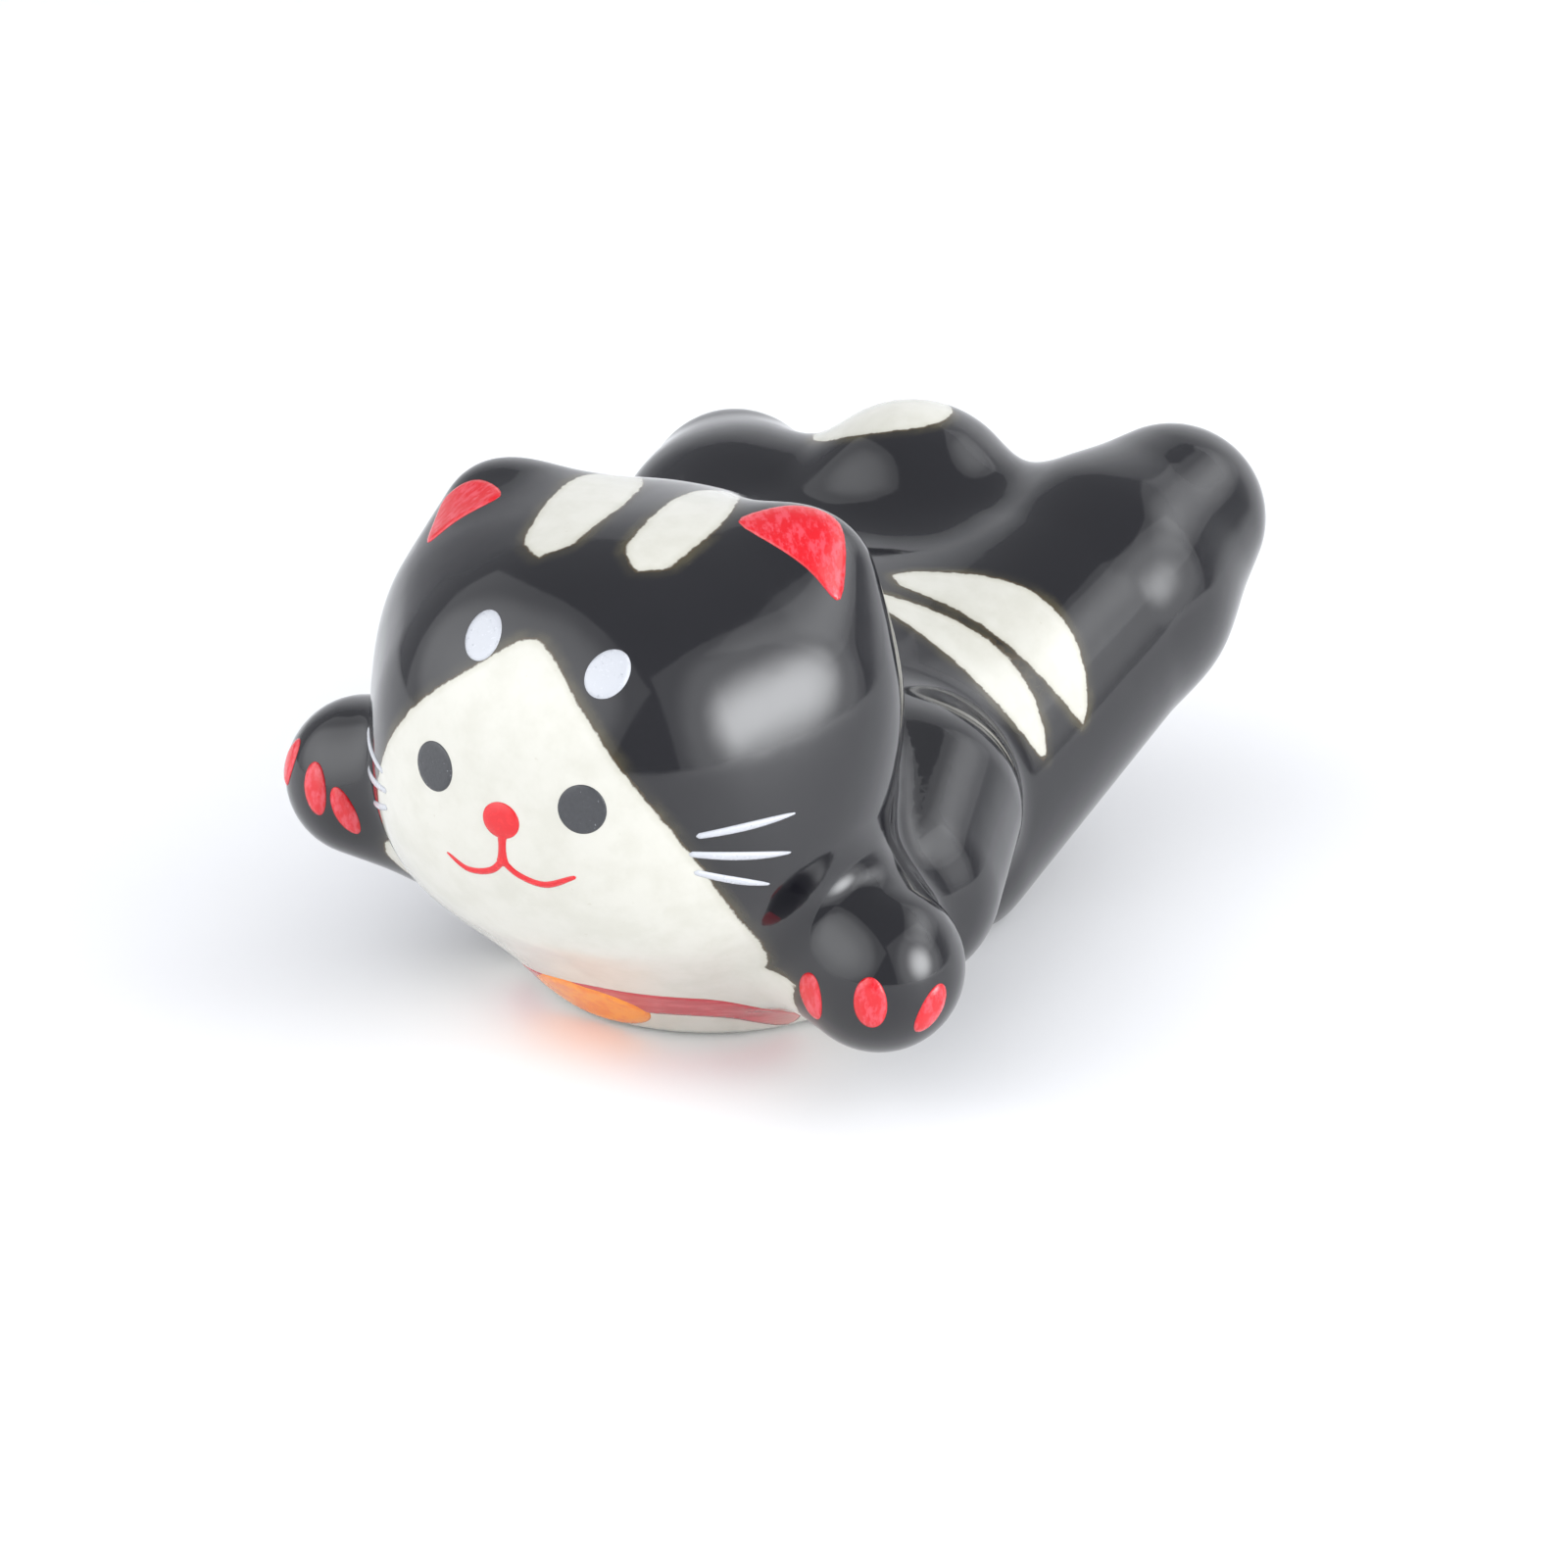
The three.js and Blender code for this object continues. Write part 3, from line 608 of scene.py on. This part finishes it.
def add_shell(name, places, normals, faces, recessed):
    """A casting's closed shell: its skin, lowered under the inlays, an inner wall, and flat rims."""
    used, outer_faces = renumbered(faces)
    skin_places, skin_normals = places[used], normals[used]
    outer = skin_places - INLAY_DEPTH * recessed[used][:, None] * skin_normals
    inner = settle(skin_places - WALL * skin_normals, -WALL, rounds=3)
    inner_normals = -outward(inner)
    count = len(used)
    inner_faces = [[v + count for v in reversed(face)] for face in outer_faces]
    rim_faces = [[b, a, a + count, b + count] for a, b in sorted(open_edges(outer_faces))]
    everything = np.vstack([outer, inner])
    corner_normals = [skin_normals[v] for face in outer_faces for v in face]
    corner_normals += [inner_normals[v - count] for face in inner_faces for v in face]
    for face in rim_faces:
        a, b, c, _ = everything[face]
        flat = np.cross(b - a, c - b)
        corner_normals += [flat / max(np.linalg.norm(flat), 1e-9)] * 4
    white = np.concatenate([whiteness(skin_places), np.full(count, -float(FAR_OUTSIDE))])
    all_faces = outer_faces + inner_faces + rim_faces
    return add_piece(name, everything, all_faces, corner_normals, {"white": white})


def add_inlay(name, places, normals, faces, inner):
    """White glaze that fills its recess to the level of the skin."""
    used, top_faces = renumbered(faces)
    deep = np.nonzero(inner[used])[0]
    floor_number = {v: len(used) + i for i, v in enumerate(deep.tolist())}
    floor = places[used][deep] - INLAY_DEPTH * normals[used][deep]
    floor_faces = [[floor_number.get(v, v) for v in reversed(face)] for face in top_faces]
    corner_normals = [normals[used][v] for face in top_faces for v in face]
    corner_normals += [-normals[used][v] for face in top_faces for v in reversed(face)]
    white = whiteness(places[used])
    white = np.concatenate([white, white[deep]])
    everything = np.vstack([places[used], floor])
    return add_piece(name, everything, top_faces + floor_faces, corner_normals, {"white": white})


def outline_depth(drawn, loops):
    """How far drawn points lie inside any of these outlines."""
    depths = []
    for loop in loops:
        away, _ = nearest_on_loop(drawn, loop)
        depths.append(np.where(is_inside(drawn, loop), away, -away))
    return np.max(depths, 0)


def add_patch(name, chart, loops, height, slope, step=0.09):
    """Fired enamel: a low dome over the outline, which rises from its edge over the width of the slope."""
    sink, lip = 0.05, 0.015
    low = np.min([loop.min(0) for loop in loops], 0) - 2 * step
    high = np.max([loop.max(0) for loop in loops], 0) + 2 * step
    count = np.ceil((high - low) / step).astype(int)
    grid = low + step * np.stack(np.meshgrid(*map(np.arange, count), indexing="ij"), -1).reshape(-1, 2)
    depth = outline_depth(grid, loops)
    number = np.arange(len(grid)).reshape(count)
    cells = np.stack([number[:-1, :-1], number[1:, :-1], number[1:, 1:], number[:-1, 1:]], -1).reshape(-1, 4)
    cells = cells[depth[cells].mean(1) > 0]
    used, top_faces = renumbered(cells.tolist())
    drawn, depth = grid[used], depth[used]
    rim = sorted({v for edge in open_edges(top_faces) for v in edge})
    for _ in range(2):
        edge = drawn[rim]
        here = outline_depth(edge, loops)
        steps = [outline_depth(edge + e, loops) - here for e in 0.01 * np.eye(2)]
        drawn[rim] = edge - np.clip(here, -step, step)[:, None] * unit(np.stack(steps, 1) + 1e-9)
    depth[rim] = 0
    places = chart.lift(drawn)
    normals = outward(places)
    rise = np.sin(np.clip(depth / slope, 0, 1) * math.pi / 2)
    top = places + normals * (lip + (height - lip) * rise)[:, None]
    bottom = places - normals * sink
    total = len(used)
    faces = top_faces + [[v + total for v in reversed(face)] for face in top_faces]
    faces += [[b, a, a + total, b + total] for a, b in sorted(open_edges(top_faces))]
    drawn = np.column_stack([drawn, np.zeros(total)])
    attributes = {"drawn": np.vstack([drawn, drawn]), "inset": np.concatenate([depth, depth])}
    return add_piece(name, np.vstack([top, bottom]), faces, None, attributes)


# ---------------------------------------------------------------- materials


class Nodes:
    """A short way to write a material's nodes. Lengths inside are millimetres."""

    def __init__(self, name):
        self.material = bpy.data.materials.new(name)
        self.material.use_nodes = True
        self.tree = self.material.node_tree
        self.shader = self.tree.nodes["Principled BSDF"]
        place = self.tree.nodes.new("ShaderNodeTexCoord")
        scale = self.tree.nodes.new("ShaderNodeVectorMath")
        scale.operation = "SCALE"
        scale.inputs["Scale"].default_value = 1 / MM
        self.tree.links.new(place.outputs["Object"], scale.inputs[0])
        self.place = scale.outputs[0]

    def put(self, socket, value):
        if isinstance(value, bpy.types.NodeSocket):
            self.tree.links.new(value, socket)
        else:
            socket.default_value = value

    def noise(self, per_mm, detail=2.0, roughness=0.5, place=None):
        node = self.tree.nodes.new("ShaderNodeTexNoise")
        self.put(node.inputs["Vector"], place or self.place)
        self.put(node.inputs["Scale"], per_mm)
        self.put(node.inputs["Detail"], detail)
        self.put(node.inputs["Roughness"], roughness)
        return node.outputs["Fac"]

    def stretched(self, attribute, scale):
        node = self.tree.nodes.new("ShaderNodeMapping")
        self.put(node.inputs["Vector"], self.attribute(attribute, "Vector"))
        self.put(node.inputs["Scale"], scale)
        return node.outputs[0]

    def math(self, operation, a, b=0.0, c=0.0):
        node = self.tree.nodes.new("ShaderNodeMath")
        node.operation = operation
        for socket, value in zip(node.inputs, (a, b, c)):
            self.put(socket, value)
        return node.outputs[0]

    def ramp(self, value, low, high, to_low=0.0, to_high=1.0):
        node = self.tree.nodes.new("ShaderNodeMapRange")
        node.interpolation_type = "SMOOTHSTEP"
        for socket, number in zip(node.inputs, (value, low, high, to_low, to_high)):
            self.put(socket, number)
        return node.outputs[0]

    def mix(self, share, a, b):
        node = self.tree.nodes.new("ShaderNodeMix")
        node.data_type = "RGBA"
        self.put(node.inputs[0], share)
        self.put(node.inputs[6], a)
        self.put(node.inputs[7], b)
        return node.outputs[2]

    def attribute(self, name, output="Fac"):
        node = self.tree.nodes.new("ShaderNodeAttribute")
        node.attribute_name = name
        return node.outputs[output]

    def bump(self, height, depth_mm):
        node = self.tree.nodes.new("ShaderNodeBump")
        self.put(node.inputs["Distance"], depth_mm * MM)
        self.put(node.inputs["Strength"], 1.0)
        self.put(node.inputs["Height"], height)
        self.put(self.shader.inputs["Normal"], node.outputs[0])

    def finish(self, colour, roughness, ior=1.62):
        self.put(self.shader.inputs["Base Color"], colour)
        self.put(self.shader.inputs["Roughness"], roughness)
        self.put(self.shader.inputs["IOR"], ior)
        return self.material


BLACK = (0.0042, 0.0042, 0.0062, 1)
BLACK_THIN = (0.008, 0.0078, 0.0105, 1)
OLIVE = (0.062, 0.054, 0.030, 1)
EDGE_BROWN = (0.060, 0.042, 0.022, 1)
CREAM = (0.61, 0.60, 0.54, 1)
CREAM_SHADE = (0.565, 0.555, 0.49, 1)


def glaze():
    """Blue-black and cream glaze in one coat, with a thin brown line and an olive bloom where they meet."""
    n = Nodes("porcelain_glaze")
    ragged = n.math("MULTIPLY_ADD", n.noise(1.6, 3, 0.65), 0.34, -0.17)
    edge = n.math("ADD", n.attribute("white"), ragged)
    black = n.mix(n.noise(0.16, 2), BLACK, BLACK_THIN)
    bloom = n.math("MULTIPLY", n.ramp(edge, -0.75, 0.0), n.ramp(n.noise(0.35, 2), 0.35, 0.7, 0.25, 1.0))
    black = n.mix(bloom, black, OLIVE)
    cream = n.mix(n.ramp(n.noise(0.5, 4, 0.6), 0.35, 0.7), CREAM, CREAM_SHADE)
    cream = n.mix(n.ramp(edge, 0.0, 0.5, 0.3, 0.0), cream, (0.36, 0.35, 0.26, 1))
    specks = n.math("MULTIPLY", n.ramp(n.noise(2.8, 2), 0.735, 0.77), n.noise(0.4, 1))
    cream = n.mix(n.math("MULTIPLY", specks, 0.35), cream, (0.35, 0.30, 0.20, 1))
    colour = n.mix(n.ramp(edge, -0.05, 0.04), black, cream)
    line = n.math("MULTIPLY", n.ramp(edge, -0.16, -0.04), n.ramp(edge, -0.02, 0.1, 1.0, 0.0))
    colour = n.mix(n.math("MULTIPLY", line, 0.85), colour, EDGE_BROWN)
    n.bump(n.noise(0.55, 1), 0.012)
    return n.finish(colour, n.ramp(n.noise(0.9, 3), 0.3, 0.8, 0.07, 0.11))


def enamel(name, deep, pale, paleness, grain=3.2, roughness=0.14, streaks=None, pooled=0.12):
    """Overglaze enamel: mottled between a deep and a pale tone, with more colour pooled at its edge."""
    n = Nodes(name)
    mottle = n.noise(grain, 4, 0.65)
    if streaks:
        brush = n.noise(1.0, 3, 0.6, n.stretched("drawn", streaks))
        mottle = n.math("MULTIPLY_ADD", mottle, 0.35, n.math("MULTIPLY", brush, 0.65))
    share = n.ramp(mottle, 0.62 - 0.35 * paleness, 0.72 - 0.25 * paleness)
    colour = n.mix(share, deep, pale)
    colour = n.mix(n.ramp(n.attribute("inset"), 0.0, pooled, 0.55, 0.0), colour, deep)
    n.bump(n.noise(4.0, 3), 0.01)
    return n.finish(colour, n.ramp(n.noise(5.0, 2), 0.3, 0.8, roughness, roughness + 0.12))


def charcoal():
    """The eyes' grainy grey-black, with pale flecks that are thickest near the rim."""
    n = Nodes("charcoal_enamel")
    base = n.mix(n.noise(5.0, 4, 0.7), (0.018, 0.019, 0.022, 1), (0.046, 0.049, 0.056, 1))
    flecks = n.ramp(n.noise(4.6, 3, 0.7), 0.66, 0.71)
    near_rim = n.ramp(n.attribute("inset"), 0.1, 0.5, 1.0, 0.35)
    colour = n.mix(n.math("MULTIPLY", flecks, near_rim), base, (0.30, 0.31, 0.33, 1))
    n.bump(n.noise(7.0, 3), 0.014)
    return n.finish(colour, n.ramp(n.noise(6.0, 2), 0.3, 0.8, 0.3, 0.5))


def white_enamel():
    """Cool opaque white with small grey pits."""
    n = Nodes("white_enamel")
    pits = n.ramp(n.noise(3.4, 3, 0.6), 0.6, 0.72, 0.0, 0.55)
    colour = n.mix(pits, (0.50, 0.515, 0.55, 1), (0.26, 0.27, 0.31, 1))
    n.bump(n.noise(4.5, 3), 0.014)
    return n.finish(colour, n.ramp(n.noise(5.0, 2), 0.3, 0.8, 0.18, 0.3))


def collar_red():
    """Thin red, dragged along the brush, and paler towards both ends."""
    n = Nodes("collar_enamel")
    brush = n.noise(1.0, 4, 0.65, n.stretched("drawn", (0.35, 2.6, 1)))
    colour = n.mix(n.ramp(brush, 0.42, 0.66), (0.44, 0.008, 0.024, 1), (0.56, 0.06, 0.08, 1))
    along = n.tree.nodes.new("ShaderNodeSeparateXYZ")
    n.put(along.inputs[0], n.attribute("drawn", "Vector"))
    end = n.ramp(n.math("ABSOLUTE", along.outputs["X"]), 8.5, 12.5, 0.0, 0.75)
    colour = n.mix(end, colour, (0.60, 0.32, 0.29, 1))
    colour = n.mix(n.ramp(n.attribute("inset"), 0.0, 0.15, 0.5, 0.0), colour, (0.52, 0.10, 0.10, 1))
    n.bump(n.noise(4.0, 3), 0.008)
    return n.finish(colour, n.ramp(n.noise(5.0, 2), 0.3, 0.8, 0.1, 0.2))


# ---------------------------------------------------------------- enamel marks

CHEST_CHART = RoundChart(CHEST["centre"], radius=11)

EYES = {"left": (3.88, 18.25), "right": (-4.4, 18.85)}
EYE_SIZE = (1.18, 1.27)
BROW_DOTS = {"left": (4.1, 24.55), "right": (-2.85, 25.25)}
BROW_DOT_SIZE = 1.02
NOSE = (-0.35, 17.0)
NOSE_SIZE = (1.02, 0.97)
MOUTH_STROKES = [
    ([(-0.3, 16.4), (-0.4, 14.7)], 0.42, 0.62, 0.7),
    ([(-0.35, 14.8), (-1.2, 14), (-2.6, 13.7), (-3.8, 14.3)], 0.36, 0.42, 0.12),
    ([(-0.45, 14.8), (0.4, 14.1), (1.8, 13.8), (3.4, 14.5)], 0.38, 0.42, 0.2),
]
# Three whiskers fan out from the edge of the mask, each a straight stroke about its own middle.
WHISKERS = {
    "upper": {"x": 10.5, "y": 17, "half_length": 1.6, "rise": 0.15, "width": 0.42},
    "middle": {"x": 10.3, "y": 15.5, "half_length": 1.7, "rise": -0.4, "width": 0.45},
    "lower": {"x": 10, "y": 14.2, "half_length": 1.25, "rise": -0.65, "width": 0.4},
}
# The middle of the left ear's front, and the way it faces.
EAR_FRONT = {"middle": point(9.6, -17.6, 28.9), "facing": point(0.37, -0.5, 0.78), "clearance": 6}


def ear_chart(side):
    mirror = MIRROR if side == "right" else 1
    facing = EAR_FRONT["facing"] * mirror
    return chart_on(EAR_FRONT["middle"] * mirror + EAR_FRONT["clearance"] * facing, -facing)


# Red fills the front of each ear, with a long corner down its outer edge. The right one is smaller.
INNER_EARS = {
    "left": [(-3.3, 1.7), (-0.3, 2.7), (1.8, 1.2), (1.2, -3.1), (-0.4, -1.6)],
    "right": [(-1.3, -1.3), (0.4, 0.4), (2.9, 0.3), (2.2, -2.2), (1.4, -3.9), (-0.4, -2.6)],
}
# The collar is one stroke across the chest, and the bell an oval that hangs over its middle.
COLLAR = ([(-12, 0.9), (-6, 2.3), (0, 3.1), (6.5, 3.05), (12.8, 0.9)], 2.15, 0.4, 0.9)
BELL = {"x": -1.5, "y": 2.2, "half_width": 3.6, "half_height": 1.85}
# Each toe pad's angle round the paw from straight ahead, its rise, its half width, half height and lean.
TOE_PADS = {
    "left": {
        "inner": (-29, -8, 0.88, 1.36, -4),
        "middle": (18, -1, 0.84, 1.4, 5),
        "outer": (62, -10, 0.8, 1.42, -22),
    },
    "right": {
        "inner": (-15, -5, 0.62, 1.45, 24),
        "middle": (9, 8, 0.74, 1.45, 10),
        "outer": (48, 16, 0.8, 1.4, -6),
    },
}
DOME = 0.09


def add_all_marks():
    """Every enamel mark by name, with its material and slot."""
    red = enamel("red_enamel", (0.62, 0.0, 0.006, 1), (0.74, 0.008, 0.014, 1), 0.3)
    rose = enamel(
        "rose_enamel", (0.62, 0.002, 0.010, 1), (0.68, 0.055, 0.08, 1), 0.45, grain=2.2, streaks=(2.4, 0.9, 1)
    )
    orange = enamel("orange_enamel", (0.80, 0.20, 0.002, 1), (0.86, 0.28, 0.004, 1), 0.6, grain=0.9)
    grey, white, collar = charcoal(), white_enamel(), collar_red()
    marks = []

    def mark(name, chart, loops, material, slot, height=DOME, slope=0.3, step=0.09):
        marks.append((add_patch(f"{name}_paint", chart, loops, height, slope, step), name, material, slot))

    mark("collar", CHEST_CHART, [brush_stroke(*COLLAR)], collar, "collar_enamel", height=0.05, step=0.14)
    mark("bell", FRONT_CHART, [oval(**BELL)], orange, "orange_enamel", height=0.12, slope=0.6, step=0.12)
    mark("nose", FRONT_CHART, [oval(*NOSE, *NOSE_SIZE)], red, "red_enamel", height=0.16, slope=0.6)
    strokes = [brush_stroke(*stroke) for stroke in MOUTH_STROKES]
    mark("mouth_line", FRONT_CHART, strokes, red, "red_enamel", slope=0.2, step=0.06)
    for side in ("left", "right"):
        mark(f"{side}_eye", FRONT_CHART, [oval(*EYES[side], *EYE_SIZE)], grey, "charcoal_enamel", height=0.06)
        dot = oval(*BROW_DOTS[side], BROW_DOT_SIZE, BROW_DOT_SIZE)
        mark(f"{side}_brow_dot", FRONT_CHART, [dot], white, "white_enamel")
        ear = smooth_loop(INNER_EARS[side])
        mark(f"{side}_inner_ear", ear_chart(side), [ear], rose, "rose_enamel")
        for word, whisker in WHISKERS.items():
            x, y, half, rise = [whisker[key] for key in ("x", "y", "half_length", "rise")]
            line = [(x - half, y - rise), (x, y), (x + half, y + rise)]
            stroke = stripe_for(side, line, whisker["width"], 0.3, 0.12)
            name = f"{side}_{word}_whisker"
            mark(name, FRONT_CHART, [stroke], white, "white_enamel", slope=0.15, step=0.06)
        for word, (angle, rise, half_width, half_height, lean) in TOE_PADS[side].items():
            sign = 1 if side == "left" else -1
            a, b = math.radians(angle), math.radians(rise)
            ahead = point(sign * math.sin(a) * math.cos(b), -math.cos(a) * math.cos(b), math.sin(b))
            chart = chart_on(FOREPAWS[side] + 20 * ahead, -ahead)
            pad = oval(0, 0, half_width, half_height, lean)
            mark(f"{side}_{word}_toe_pad", chart, [pad], rose, "rose_enamel", height=0.12, slope=0.45)
    return marks


def declare(piece, node, material):
    piece.data.materials.append(material)
    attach(piece, "root")
    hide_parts(node)


def shift_to_row(places):
    """From the drawing frame to the row frame, so that the skin's middle meets the CAD castings' middle in x
    and y. Heights are kept as drawn.
    """
    boxes = np.array([[list(corner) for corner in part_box(name)] for name in CASTINGS]) / MM
    cad_middle = (boxes[:, 0].min(0) + boxes[:, 1].max(0)) / 2
    own_middle = (places.min(0) + places.max(0)) / 2
    return (cad_middle - own_middle) * (1, 1, 0)


def add_all_porcelain(places, faces, owners):
    places, faces, owners, inlays = mark_inlays(places, faces, owners)
    inner = inner_points(len(places), faces, inlays)
    normals = outward(places)
    material = glaze()
    for number, name in enumerate(CASTINGS):
        own = [face for face, owner in zip(faces, owners) if owner == number]
        shell = add_shell(f"{name}_shell", places, normals, own, inner)
        declare(shell, name, material)
    for number, area in enumerate(AREAS):
        if not area[1]:
            continue
        own = [face for face, inlay in zip(faces, inlays) if inlay == number]
        inlay = add_inlay(f"{area[0]}_glaze", places, normals, own, inner)
        declare(inlay, area[0], material)


# ---------------------------------------------------------------- stage

VIEW = {"azimuth": 24.48, "elevation": 22.4, "roll": 1.37, "distance": 216, "focal_ratio": 2.4517}
# What the camera looks at, from the middle of the figure's box.
AIM = point(1.7, -0.95, -6.75)


def add_camera():
    azimuth, elevation, roll = [math.radians(VIEW[key]) for key in ("azimuth", "elevation", "roll")]
    back = point(
        math.sin(azimuth) * math.cos(elevation), -math.cos(azimuth) * math.cos(elevation), math.sin(elevation)
    )
    level = point(math.cos(azimuth), math.sin(azimuth), 0)
    upright = np.cross(back, level)
    right = level * math.cos(roll) + upright * math.sin(roll)
    up = upright * math.cos(roll) - level * math.sin(roll)
    middle = np.array((CAD_BOX[0] + CAD_BOX[1]) / 2)
    eye = middle + (AIM + VIEW["distance"] * back) * MM
    camera = bpy.data.objects.new("camera", bpy.data.cameras.new("camera"))
    bpy.context.scene.collection.objects.link(camera)
    turn = Matrix(np.stack([right, up, back], 1).tolist()).to_4x4()
    camera.matrix_world = Matrix.Translation(eye) @ turn
    camera.data.lens = camera.data.sensor_width * VIEW["focal_ratio"]
    camera.data.clip_start = 0.01
    bpy.context.scene.camera = camera


ROOM_LIGHT = 0.48


def add_softbox(name, azimuth, elevation, distance, width, height, body, core, core_size):
    """A soft panel whose core fades to its body, and its rim into the room. Sizes are metres."""
    a, e = math.radians(azimuth), math.radians(elevation)
    away = Vector((math.sin(a) * math.cos(e), -math.cos(a) * math.cos(e), math.sin(e)))
    light = bpy.data.lights.new(name, "AREA")
    light.shape = "RECTANGLE"
    light.size, light.size_y = width, height
    light.energy = math.pi * width * height
    light.use_nodes = True
    nodes, links = light.node_tree.nodes, light.node_tree.links
    place = nodes.new("ShaderNodeNewGeometry")
    from_middle = nodes.new("ShaderNodeVectorMath")
    from_middle.operation = "DISTANCE"
    from_middle.inputs[1].default_value = (0.5, 0.5, 0)
    links.new(place.outputs["Parametric"], from_middle.inputs[0])
    strength = nodes.new("ShaderNodeMath")
    strength.operation = "MULTIPLY"
    rim_start, rim_end = 0.28, 0.5
    core_fade = (0.0, core_size, core, body)
    rim_fade = (rim_start, rim_end, 1.0, ROOM_LIGHT / body)
    for socket, numbers in zip(strength.inputs, (core_fade, rim_fade)):
        fade = nodes.new("ShaderNodeMapRange")
        fade.interpolation_type = "SMOOTHERSTEP"
        for end, number in zip(list(fade.inputs)[1:], numbers):
            end.default_value = number
        links.new(from_middle.outputs["Value"], fade.inputs[0])
        links.new(fade.outputs[0], socket)
    links.new(strength.outputs[0], nodes["Emission"].inputs["Strength"])
    nodes["Emission"].inputs["Color"].default_value = (0.965, 0.98, 1.0, 1)
    panel = bpy.data.objects.new(name, light)
    bpy.context.scene.collection.objects.link(panel)
    panel.location = away * distance
    panel.rotation_mode = "QUATERNION"
    panel.rotation_quaternion = away.to_track_quat("Z", "Y")


def add_floor():
    """A pale floor that sweeps up into a backdrop behind the figure."""
    half, depth, radius, top = 1.2, 0.55, 0.25, 0.75
    profile = [(-1.0, 0.0), (depth - radius, 0.0)]
    for i in range(1, 13):
        turn = math.radians(7.5 * i)
        profile.append((depth - radius + radius * math.sin(turn), radius * (1 - math.cos(turn))))
    profile.append((depth, top))
    mesh = bpy.data.meshes.new("floor")
    corners = [(x, y, z) for y, z in profile for x in (-half, half)]
    mesh.from_pydata(corners, [], [(i, i + 1, i + 3, i + 2) for i in range(0, len(corners) - 2, 2)])
    mesh.shade_smooth()
    n = Nodes("pale_floor")
    colour = n.mix(n.noise(0.02, 2), (0.90, 0.90, 0.905, 1), (0.915, 0.915, 0.92, 1))
    mesh.materials.append(n.finish(colour, 0.6))
    floor = bpy.data.objects.new("floor", mesh)
    bpy.context.scene.collection.objects.link(floor)


def add_light():
    add_softbox("left_panel", -38, 31, 0.55, 1.5, 0.95, body=1.35, core=2.3, core_size=0.4)
    add_softbox("right_panel", 82, 18, 0.5, 0.72, 0.86, body=1.35, core=9.0, core_size=0.3)
    add_softbox("rear_panel", 125, 44, 0.6, 0.62, 0.42, body=1.1, core=2.2, core_size=0.4)
    world = bpy.data.worlds.new("room")
    world.use_nodes = True
    world.node_tree.nodes["Background"].inputs["Color"].default_value = (ROOM_LIGHT, 0.49, 0.52, 1)
    bpy.context.scene.world = world
    bpy.context.scene.view_settings.view_transform = "Standard"


# ---------------------------------------------------------------- everything

AREAS = white_areas()
skin_places, skin_faces, skin_owners = split_into_castings(*skin_mesh())
skin_faces, skin_owners = open_vent(skin_places, skin_faces, skin_owners)
ROW_SHIFT = shift_to_row(skin_places)
add_all_porcelain(skin_places, skin_faces, skin_owners)
for mark_piece, mark_node, mark_material, mark_slot in add_all_marks():
    declare(mark_piece, mark_node, mark_material)
add_camera()
add_light()
add_floor()
